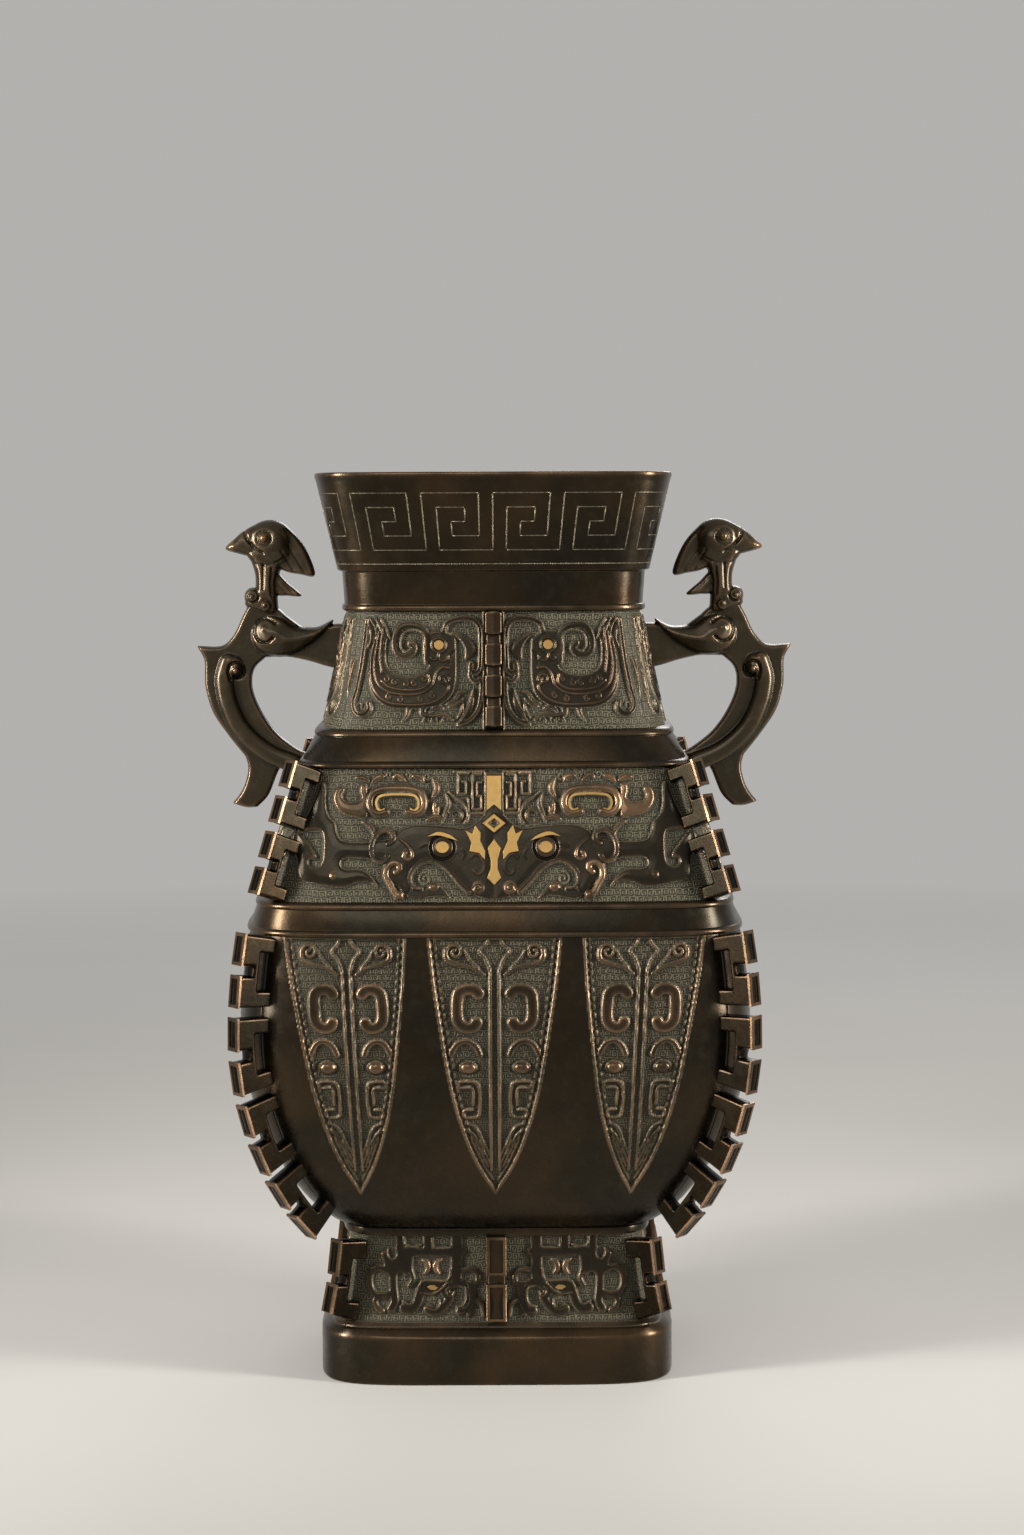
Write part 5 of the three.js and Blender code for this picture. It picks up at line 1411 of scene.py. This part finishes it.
def block_flange(name, direction, highest, lowest, blocks, half, space, framed):
    """A centre flange: flat blocks over a lower web."""
    line = surface_line(highest, lowest, direction)
    length = line[0][-1]
    shape = flat_drawing(length, block_reach)
    web = block_reach * 0.25
    shape.solid([(0, -flange_root), (length, -flange_root), (length, web), (0, web)], half - 0.5, 0.7)
    pitch = (length + space) / blocks
    spans = [(i * pitch, (i + 1) * pitch - space) for i in range(blocks)]
    for start, end in spans:
        block = [(start, -flange_root), (start, block_reach), (end, block_reach), (end, -flange_root)]
        shape.solid(block, half, flange_bevel)
    points, quads, bump = bent_body(shape, half, block_voxel, line, direction)
    made = [make_mesh(name, points, quads, {"cavity": bump})]
    if framed:
        made.append(framed_ends(name + "_ends", spans, line, direction, block_reach, half))
    return made


def centre_flanges():
    """The neck's two centre flanges and the foot's four, with the nodes that they stand for."""
    facing = {"front": (0, -1), "back": (0, 1), "right": (1, 0), "left": (-1, 0)}
    neck = (neck_top - below_wire, neck_bottom + below_wire, 4, 4.0, 4.0, False)
    foot = (foot_height - 0.3, ledge_height + flange_root, 2, 4.8, 4.2, True)
    made = []
    for label, node, faces, measures in (("neck_blocks", "neck_flange", ("front", "back"), neck),
                                         ("foot_blocks", "foot_centre_flange", facing, foot)):
        for face in faces:
            for piece in block_flange(f"{label}_{face}", facing[face], *measures):
                made.append((piece, f"{node}_{face}"))
    return made


# Materials.

dark = (0.0180, 0.0142, 0.0082)
brown = (0.050, 0.029, 0.012)
grey = (0.038, 0.034, 0.0235)
panel_tone = (0.022, 0.0185, 0.012)
# The ground's olive on the raised spiral lines and dark between them: patina, with a painted highlight on the
# lines and painted shade between them.
ground_high, ground_low = (0.108, 0.091, 0.046), (0.013, 0.011, 0.0055)
verdigris = (0.076, 0.072, 0.030)
# Painted shade: the near-black tone that hollows are darkened towards, where shade falls.
hollow_shade = (0.013, 0.012, 0.008)
# A pale tone along the figures' sloping edges: polish, and a painted highlight.
edge_polish_highlight = (0.155, 0.133, 0.081)
copper_tone = (0.230, 0.142, 0.082)
gold_tone, gold_red, gold_worn = (0.40, 0.255, 0.088), (0.44, 0.24, 0.075), (0.20, 0.11, 0.04)
silver_tone, silver_black = (0.17, 0.145, 0.10), (0.055, 0.043, 0.028)
floor_tones = (0.55, 0.54, 0.52), (0.58, 0.57, 0.55)

# Squared spirals of the ground: the size of one, the pitch of its lines and how far they stray.
spiral_cell, spiral_pitch, spiral_stray = 3.3, 1.1, 0.55


class Shader:
    """A small helper to lay out a material's nodes."""

    def __init__(self, name):
        self.material = bpy.data.materials.new(name)
        self.material.use_nodes = True
        self.tree = self.material.node_tree
        self.bsdf = self.tree.nodes["Principled BSDF"]

    def feed(self, socket, value):
        """Links another node's output to a socket, or sets the socket to a plain value."""
        if isinstance(value, bpy.types.NodeSocket):
            self.tree.links.new(value, socket)
        else:
            socket.default_value = value

    def node(self, kind, inputs=None, **settings):
        """A node of a kind with its settings and inputs."""
        made = self.tree.nodes.new(kind)
        for key, value in settings.items():
            setattr(made, key, value)
        for key, value in (inputs or {}).items():
            self.feed(made.inputs[key], value)
        return made

    def value(self, name):
        """A number that the mesh carries at each point."""
        return self.node("ShaderNodeAttribute", attribute_name=name).outputs["Fac"]

    def noise(self, scale, detail, rough=0.55, distortion=0.0):
        """Noise in the piece's own space."""
        coords = self.node("ShaderNodeTexCoord").outputs["Object"]
        inputs = {"Vector": coords, "Scale": scale, "Detail": detail, "Roughness": rough}
        return self.node("ShaderNodeTexNoise", inputs | {"Distortion": distortion}).outputs["Fac"]

    def ramp(self, value, low, high, to_low=0.0, to_high=1.0):
        """A value moved from one range to another, and held inside it."""
        inputs = {"Value": value, "From Min": low, "From Max": high, "To Min": to_low, "To Max": to_high}
        return self.node("ShaderNodeMapRange", inputs).outputs["Result"]

    def math(self, operation, a, b=0.0, clamp=False):
        """One operation on one or two values."""
        return self.node("ShaderNodeMath", {0: a, 1: b}, operation=operation, use_clamp=clamp).outputs[0]

    def plus(self, a, b):
        """Two values added."""
        return self.math("ADD", a, b)

    def minus(self, a, b):
        """The first value less the second."""
        return self.math("SUBTRACT", a, b)

    def times(self, a, b, clamp=False):
        """Two values multiplied, held between 0 and 1 if clamped."""
        return self.math("MULTIPLY", a, b, clamp)

    def larger(self, a, b):
        """The larger of two values."""
        return self.math("MAXIMUM", a, b)

    def mix(self, share, a, b):
        """A colour between two."""
        tones = [value if isinstance(value, bpy.types.NodeSocket) else (*value, 1.0) for value in (a, b)]
        return self.node("ShaderNodeMix", {0: share, 6: tones[0], 7: tones[1]}, data_type="RGBA").outputs[2]

    def blend(self, share, a, b):
        """A number between two."""
        return self.node("ShaderNodeMix", {0: share, 2: a, 3: b}, data_type="FLOAT").outputs[0]

    def bump(self, height, strength, distance):
        """Fine relief from a height, at a distance in millimetres."""
        inputs = {"Height": height, "Strength": strength, "Distance": distance * MM}
        self.set(Normal=self.node("ShaderNodeBump", inputs).outputs[0])

    def set(self, **inputs):
        """Feeds the surface and returns the material."""
        for key, value in inputs.items():
            self.feed(self.bsdf.inputs[key.replace("_", " ")], value)
        return self.material


def squared_spirals(nodes):
    """Squared spirals over a face, as raised lines from 0 to 1; they turn both ways by turns."""
    stray = nodes.ramp(nodes.noise(110.0, 2.0), 0.3, 0.7, -spiral_stray, spiral_stray)
    up = nodes.plus(nodes.value("up"), stray)
    row = nodes.math("FLOOR", nodes.math("DIVIDE", up, spiral_cell))
    shift = nodes.times(row, spiral_cell * 0.37)
    across = nodes.plus(nodes.plus(nodes.value("across"), shift), stray)
    column = nodes.math("FLOOR", nodes.math("DIVIDE", across, spiral_cell))
    parity = nodes.math("FLOORED_MODULO", nodes.plus(row, column), 2.0)
    sign = nodes.minus(1.0, nodes.times(parity, 2.0))
    right = nodes.times(nodes.minus(across, nodes.times(nodes.plus(column, 0.5), spiral_cell)), sign)
    high = nodes.minus(up, nodes.times(nodes.plus(row, 0.5), spiral_cell))
    away = nodes.larger(nodes.math("ABSOLUTE", right), nodes.math("ABSOLUTE", high))
    turn = nodes.math("ARCTAN2", high, right)
    phase = nodes.minus(nodes.times(away, 2 * math.pi / spiral_pitch), turn)
    return nodes.ramp(nodes.math("COSINE", phase), -0.2, 0.7)


def bronze(name, brown_share=0.5, relief=False, edges=0.0, shade=1.0, metal=0.82):
    """Dark patina with brown mottling; relief adds the olive ground and a pale line along the figures' edges,
    polish and painted highlight, worn edges show copper, and hollows darken with painted shade where edges or
    relief are asked for.
    """
    nodes = Shader(name)
    broad = nodes.noise(16.0, 3.0, 0.5, 0.4)
    patch = nodes.noise(45.0, 3.0, 0.55)
    fine = nodes.noise(170.0, 5.0, 0.6)
    grain = nodes.noise(900.0, 3.0, 0.6)
    own_dark, own_brown, own_grey = (tuple(shade * part for part in tone) for tone in (dark, brown, grey))
    tone = nodes.mix(nodes.ramp(broad, 0.40, 0.64, 0.0, brown_share), own_dark, own_brown)
    tone = nodes.mix(nodes.ramp(fine, 0.52, 0.78, 0.0, 0.4), tone, own_grey)
    cavity = nodes.value("cavity")
    rubbed = nodes.ramp(patch, 0.38, 0.60, 0.25, 1.0)
    wear_and_highlight = nodes.times(nodes.value("copper"), rubbed)
    if edges:
        wear_and_highlight = nodes.larger(wear_and_highlight, nodes.times(nodes.ramp(cavity, 0.06, 0.06 + edges, 0.0, 0.7), rubbed))
        # Painted shade: hollows, where cavity falls below 0, darken towards the near-black tone.
        tone = nodes.mix(nodes.ramp(cavity, -0.04, -0.25, 0.0, 0.85), tone, hollow_shade)
    roughness = nodes.ramp(fine, 0.3, 0.7, 0.21, 0.33)
    metallic = nodes.blend(wear_and_highlight, metal, 0.9)
    height = nodes.plus(nodes.times(grain, 0.03), nodes.times(fine, 0.06))
    if relief:
        panel, figure = nodes.value("panel"), nodes.value("figure")
        outside = nodes.minus(1.0, figure)
        ground = nodes.times(panel, outside, clamp=True)
        lines = squared_spirals(nodes)
        height = nodes.plus(height, nodes.times(nodes.times(lines, ground), 0.28))
        tone = nodes.mix(nodes.times(panel, 0.75), tone, panel_tone)
        tone = nodes.mix(ground, tone, ground_colour(nodes, lines, cavity, patch))
        # Painted highlight and polish: a pale line along the figures' sloping edges inside the panels.
        rim = nodes.times(nodes.times(figure, outside), panel)
        tone = nodes.mix(nodes.times(rim, 2.4, clamp=True), tone, edge_polish_highlight)
        # Painted shade: the figures' hollows darken towards the near-black tone.
        tone = nodes.mix(nodes.times(nodes.ramp(cavity, -0.12, -0.5, 0.0, 0.7), figure), tone, hollow_shade)
        # Painted highlight: raised edges within the panels take the copper tone, on top of the wear.
        lit = nodes.times(nodes.ramp(cavity, 0.18, 0.6, 0.0, 0.4), panel)
        wear_and_highlight = nodes.larger(wear_and_highlight, nodes.times(lit, rubbed))
        roughness = nodes.blend(ground, roughness, 0.6)
        metallic = nodes.blend(ground, metallic, 0.25)
    nodes.bump(height, 1.0, 1.0)
    return nodes.set(Base_Color=nodes.mix(wear_and_highlight, tone, copper_tone), Roughness=roughness, Metallic=metallic)


def ground_colour(nodes, lines, cavity, patch):
    """Olive patina on the spirals' lines and dark between them, with patches of verdigris; the lines'
    lightness is partly a painted highlight, the dark partly painted shade, and the lines darken in hollows as
    painted shade.
    """
    high = nodes.mix(nodes.ramp(patch, 0.45, 0.62, 0.0, 0.75), ground_high, verdigris)
    # Painted shade: the lines fade to the dark tone in hollows.
    return nodes.mix(nodes.times(lines, nodes.ramp(cavity, -0.5, 0.0, 0.25, 1.0)), ground_low, high)


def gilded(name):
    """Rubbed gold with fine scratches and darker hollows."""
    nodes = Shader(name)
    fine = nodes.noise(420.0, 4.0, 0.6)
    broad = nodes.noise(90.0, 3.0)
    tone = nodes.mix(nodes.ramp(broad, 0.35, 0.7, 0.0, 0.5), gold_tone, gold_red)
    tone = nodes.mix(nodes.ramp(fine, 0.6, 0.8, 0.0, 0.5), tone, gold_worn)
    nodes.bump(fine, 0.2, 0.15)
    return nodes.set(Base_Color=tone, Roughness=nodes.ramp(fine, 0.3, 0.7, 0.28, 0.42), Metallic=0.95)


def silvered(name):
    """Tarnished silver wire."""
    nodes = Shader(name)
    tone = nodes.mix(nodes.ramp(nodes.noise(500.0, 3.0), 0.35, 0.7), silver_tone, silver_black)
    return nodes.set(Base_Color=tone, Roughness=0.42, Metallic=0.8)


# Gold let into the front and the back.

def on_face(x, z, proud):
    """Points of the broad front face, standing out from it."""
    half, square = section(z)
    y = -(half * depth_ratio) * (1 - np.clip(np.abs(x) / half, 0, 0.99) ** square) ** (1 / square)
    return np.column_stack([x, y - proud, z])


def inlay(name, outline, hole=None, proud=0.45, crown=0.0):
    """A thin plate on the front face with rounded edges, from its outline."""
    rings = [np.asarray(ring, float) for ring in (outline, hole) if ring is not None]
    flat = np.vstack(rings)
    count = len(flat)
    from_middle = np.hypot(*(flat - flat.mean(axis=0)).T)
    lift = proud + crown * (1 - from_middle / from_middle.max())
    top = on_face(flat[:, 0], flat[:, 1], lift)
    bottom = on_face(flat[:, 0], flat[:, 1], -gold_depth)
    triangles = []
    for a, b, c in tessellate_polygon([[Vector((x, 0, z)) for x, z in ring] for ring in rings]):
        (ax, az), (bx, bz) = flat[b] - flat[a], flat[c] - flat[a]
        b, c = (b, c) if ax * bz - az * bx > 0 else (c, b)
        triangles += [(a, b, c), (count + a, count + c, count + b)]
    quads = []
    first = 0
    for index, ring in enumerate(rings):
        following = np.roll(ring, -1, axis=0)
        area = np.sum(ring[:, 0] * following[:, 1] - following[:, 0] * ring[:, 1])
        outward = (area > 0) == (index == 0)
        for i in range(len(ring)):
            here, there = first + i, first + (i + 1) % len(ring)
            start, end = (here, there) if outward else (there, here)
            quads.append((start, start + count, end + count, end))
        first += len(ring)
    piece = make_mesh(name, np.vstack([top, bottom]), [np.array(triangles), np.array(quads)], flat=True)
    soft_edges(piece, gold_edge)
    return piece


def band(path, width):
    """The outline of a narrow band along a path."""
    line = smooth(path, step=0.7)
    heading = np.gradient(line, axis=0)
    heading /= np.linalg.norm(heading, axis=1, keepdims=True)
    side = np.column_stack([-heading[:, 1], heading[:, 0]]) * width / 2
    return np.vstack([line + side, (line - side)[::-1]])


gold_depth, gold_edge = 0.9, 0.22


def gold_pairs():
    """The gold to both sides of the middle: name, outline, how proud it stands and its crown."""
    flame = [
        (8.9, 273.8), (6.4, 270.2), (6.5, 266.5), (4.2, 261.5), (4.5, 257.6), (7.2, 260.8), (11.6, 261.6),
        (10.7, 265.5), (13.6, 271.3), (10.2, 269.6)]
    brow = np.vstack([smooth([(17, 266.4), (21, 269.3), (26.4, 270.6), (31.8, 268.4)]),
                      smooth([(31.8, 268.4), (26.6, 269), (21.6, 267.8), (17, 266.4)])[1:-1]])
    pupil = arc(mask_eye, 3.1, 0, 345, squash=0.86, step=15)
    bird_eye = arc((26, neck_top - 17.5), 2.3, 0, 340, step=20)
    lens_x, lens_z = 31, ledge_height + 19.1
    lens = ((-2.7, -0.2), (-1.3, -1.2), (0.8, -1.25), (2.7, 0.2), (1.3, 1.1), (-0.8, 1.15))
    dragon_eye = [(lens_x + dx, lens_z + dz) for dx, dz in lens]
    return (("side_flame", flame, 0.45, 0), ("brow", brow, 0.45, 0), ("mask_pupil", pupil, 1.0, 0.25),
            ("horn_line", band(horn_line, 1.05), 0.55, 0), ("bird_eye", bird_eye, 0.0, 0),
            ("dragon_eye", dragon_eye, 0.2, 0))


def gold_inlay():
    """The gold that is finer than its solids, front and back, with the nodes that it stands for."""
    made = []
    for name, outline, proud, crown in gold_pairs():
        for side, sign in (("right", 1), ("left", -1)):
            drawn = [(x * sign, z) for x, z in outline]
            made.append((inlay(f"{name}_gold_{side}", drawn, proud=proud, crown=crown), f"{name}_{side}"))
    dagger = [
        (0, 267.2), (3.1, 263), (1.6, 257.4), (1.6, 253.6), (3.3, 249.4), (0, 245.9), (-3.3, 249.4),
        (-1.6, 253.6), (-1.6, 257.4), (-3.1, 263)]
    lozenge = [(-5.5, 274.5), (0, 278.9), (5.5, 274.5), (0, 270.1)]
    hole = [(-2.9, 274.5), (0, 276.8), (2.9, 274.5), (0, 272.2)]
    made.append((inlay("nose_dagger_gold", dagger), "nose_dagger"))
    made.append((inlay("forehead_lozenge_gold", lozenge, hole), "forehead_lozenge"))
    pairs = []
    for piece, node in made:
        twin = linked(piece.name + "_back", piece.data.copy())
        twin.data.transform(Matrix.Rotation(math.pi, 4, "Z"))
        soft_edges(twin, gold_edge)
        pairs += [(piece, node + "_front"), (twin, node + "_back")]
    return pairs


# Silver wire of the lip, laid flush.

fret_height, fret_top_margin, fret_units = 27.0, 10.0, 16
border_rise = 3.4
half_wire, wire_proud, wire_depth = 0.25, 0.1, 0.4


def lip_line(height):
    """Directions round the lip, and how far round it each one is at a height."""
    angle = np.linspace(0, 2 * math.pi, fine_round) - math.pi / 2
    across, deep = np.cos(angle), np.sin(angle) * depth_ratio
    size = np.hypot(across, deep)
    across, deep = across / size, deep / size
    out = reach_towards(across, deep, *section(height))
    return across, deep, lengths_along(out * across, out * deep)


def on_lip(line, along, z, proud):
    """Points on the lip, some way round it and at a height, standing out from it."""
    across, deep, run = line
    round_to = np.mod(along, run[-1])
    x, y = np.interp(round_to, run, across), np.interp(round_to, run, deep)
    length = np.hypot(x, y)
    x, y = x / length, y / length
    out = reach_towards(x, y, *section(z)) + proud
    return np.column_stack([x * out, y * out, z])


def wire_paths(length, top):
    """The corners of the fret that keeps turning round the lip, and of the border wire below it."""
    unit = length / fret_units
    w, step = unit / 5, fret_height / 4
    shape = [(0, 0), (4 * w, 0), (4 * w, 3 * step), (2 * w, 3 * step), (2 * w, 2 * step), (3 * w, 2 * step),
             (3 * w, step), (w, step), (w, 4 * step), (5 * w, 4 * step)]
    fret = [(i * unit + x, top - down) for i in range(fret_units) for x, down in shape] + [(length, top)]
    border = [(along, collar_height + border_rise) for along in np.linspace(0, length, 400)]
    return fret, border


def fret_wire():
    """Thin flat silver wire: the fret and its border, as straight stretches bent to the lip."""
    top = rim_height - fret_top_margin
    line = lip_line(top - fret_height / 2)
    points, quads = [], []
    for path in wire_paths(line[2][-1], top):
        for (x0, z0), (x1, z1) in zip(path[:-1], path[1:]):
            length = math.hypot(x1 - x0, z1 - z0)
            dx, dz = (x1 - x0) / length, (z1 - z0) / length
            count = max(2, int(length / 2.5) + 1)
            run = np.linspace(-half_wire, length + half_wire, count)
            first = len(points)
            for side, proud in ((-1, -wire_depth), (-1, wire_proud), (1, wire_proud), (1, -wire_depth)):
                along = x0 + dx * run - dz * half_wire * side
                z = z0 + dz * run + dx * half_wire * side
                points.extend(on_lip(line, along, z, proud))
            edges = [first + k * count for k in range(4)]
            for here, beside in zip(edges, edges[1:] + edges[:1]):
                quads += [(here + i, here + i + 1, beside + i + 1, beside + i) for i in range(count - 1)]
            quads += [tuple(edges), tuple(edge + count - 1 for edge in edges[::-1])]
    return make_mesh("silver_wire", points, np.array(quads))


# The vase is put together here.

relief_bronze = bronze("relief_bronze", relief=True)
plain_bronze = bronze("plain_bronze", brown_share=0.75)
handle_bronze = bronze("handle_bronze", brown_share=0.15, edges=0.25, shade=2.0, metal=0.7)
# The toothed flanges' tones are cut to 0.3: painted shade on their broad sides.
flange_bronze = bronze("flange_bronze", brown_share=0.4, edges=0.4, shade=0.3, metal=0.97)
block_bronze = bronze("block_bronze", brown_share=0.9, edges=0.18)
stud_bronze = bronze("stud_bronze", brown_share=1.0, shade=3.2)
gold = gilded("gold")
silver = silvered("silver")

place(vessel_core(), plain_bronze, "bronze", "vessel_body")

broad_drawings = (neck_relief(False), mask_relief(True), blade_relief((
    (0, 0), (70.5, 64.5), (-70.5, -64.5)), 114, 0.91))
side_drawings = (neck_relief(True), mask_relief(False), blade_relief(((36, 33), (-36, -33)), 92, 0.91))
foot_drawing = foot_relief()
for drawing in (*broad_drawings, *side_drawings, foot_drawing):
    drawing.soften()
    drawing.soft = blurred(drawing.height, int(1.6 / pixel))

for face in ("front", "back", "right", "left"):
    neck, mask, blades = broad_drawings if face in ("front", "back") else side_drawings
    slabs = (face_slab(f"neck_relief_{face}", face, neck_bottom + seam, neck_top - seam, neck),
             face_slab(f"mask_relief_{face}", face, band_top + seam, shoulder_height - seam, mask),
             face_slab(f"blade_relief_{face}", face, ring_height + 0.3, band_bottom - seam, blades, False,
                       blade_grid_step),
             face_slab(f"foot_relief_{face}", face, ledge_height + 0.2, foot_height - 0.1, foot_drawing))
    for piece in slabs:
        place(piece, relief_bronze, "bronze", "vessel_body")

for piece, node in handles():
    place(piece, handle_bronze, "handle_bronze", node)
for piece, node in handle_eyes():
    place(piece, stud_bronze, "gold", node)
for piece, node in corner_flanges():
    # The teeth take the bronze darkened as painted shade; their ends take the block bronze.
    place(piece, block_bronze if "ends" in piece.name else flange_bronze, "flange_bronze", node)
for piece, node in centre_flanges():
    place(piece, block_bronze, "flange_bronze", node)
for piece, node in gold_inlay():
    place(piece, gold, "gold", node)
place(fret_wire(), silver, "silver", "silver_fret")

# The bars of gold that the solids already draw well, and the floor plate, keep their own shapes.
for name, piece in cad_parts.items():
    if name.startswith(("forehead_bar", "floor_plate")):
        piece.data.materials.clear()
        piece.data.materials.append(plain_bronze if name == "floor_plate" else gold)
        soft_edges(piece, 0.2)


# Floor, light and camera.

camera_distance, camera_height, camera_side = 1500.0, 417.1, 8.6
camera_tilt, camera_roll = 4.68, -0.25
lens, film = 70.9, 36.0
floor_radius, fade_start = 2000.0, 800.0
world_tone, world_strength = (1.0, 0.98, 0.95, 1.0), 0.45


def fading_floor():
    """A pale round floor that fades out towards its edge."""
    spokes = 96
    around = np.linspace(0, 2 * math.pi, spokes, endpoint=False)
    rings = [np.stack([r * np.cos(around), r * np.sin(around), 0 * around], -1)
             for r in (floor_radius, fade_start, 10.0)]
    index = np.arange(3 * spokes).reshape(3, spokes)
    following = np.roll(index, -1, axis=1)
    quads = np.stack([index[:-1], following[:-1], following[1:], index[1:]], -1).reshape(-1, 4)
    floor = make_mesh("floor", np.vstack(rings), [quads, index[2][None, :]])
    nodes = Shader("pale_floor")
    tone = nodes.mix(nodes.ramp(nodes.noise(3.0, 2.0), 0.3, 0.7), *floor_tones)
    nodes.set(Base_Color=tone, Roughness=0.7)
    here = nodes.node("ShaderNodeTexCoord").outputs["Object"]
    away = nodes.node("ShaderNodeVectorMath", {0: here}, operation="LENGTH").outputs["Value"]
    fade = nodes.ramp(away, fade_start * MM, floor_radius * MM)
    clear = nodes.node("ShaderNodeBsdfTransparent").outputs["BSDF"]
    mixed = nodes.node("ShaderNodeMixShader", {0: fade, 1: nodes.bsdf.outputs["BSDF"], 2: clear})
    nodes.feed(nodes.tree.nodes["Material Output"].inputs["Surface"], mixed.outputs["Shader"])
    floor.data.materials.append(nodes.material)


def pale_world():
    """An even pale surrounding."""
    world = bpy.data.worlds.new("studio")
    bpy.context.scene.world = world
    world.use_nodes = True
    background = world.node_tree.nodes["Background"]
    background.inputs["Color"].default_value = world_tone
    background.inputs["Strength"].default_value = world_strength


def lamp(name, stand, target, size, power, colour, spread=180):
    """A rectangular lamp that stands in one place and is aimed at another."""
    data = bpy.data.lights.new(name, "AREA")
    data.shape = "RECTANGLE"
    data.size, data.size_y = size[0] * MM, size[1] * MM
    data.energy = power
    data.color = colour
    data.spread = math.radians(spread)
    light = linked(name, data)
    light.location = Vector(stand) * MM
    aim = Vector(target) * MM - light.location
    light.rotation_euler = aim.to_track_quat("-Z", "Y").to_euler()


def lamps():
    """Two tall narrow lamps at the sides, and a broad one in front and behind."""
    middle, high = (0, 0, 230), (0, 0, 330)
    tall, broad = (200, 1000), (700, 500)
    warm, pale = (1.0, 0.96, 0.9), (1.0, 0.98, 0.95)
    lamp("key_left", (-1150, -560, 560), high, tall, 6, warm, 70)
    lamp("key_right", (1150, -460, 520), high, tall, 5, warm, 70)
    lamp("front", (-300, -1500, 1100), middle, broad, 4, pale)
    lamp("back", (300, 1500, 1000), middle, broad, 5, pale)


def photo_camera():
    """The camera at the photographed view."""
    data = bpy.data.cameras.new("camera")
    data.sensor_fit = "VERTICAL"
    data.sensor_height = film
    data.lens = lens
    data.clip_start, data.clip_end = 0.05, 50
    camera = linked("camera", data)
    camera.location = Vector((camera_side, -camera_distance, camera_height)) * MM
    tilt = Matrix.Rotation(math.radians(90 - camera_tilt), 4, "X")
    camera.rotation_euler = (tilt @ Matrix.Rotation(math.radians(camera_roll), 4, "Z")).to_euler()
    bpy.context.scene.camera = camera


fading_floor()
pale_world()
lamps()
photo_camera()
bpy.context.scene.view_settings.view_transform = "Standard"
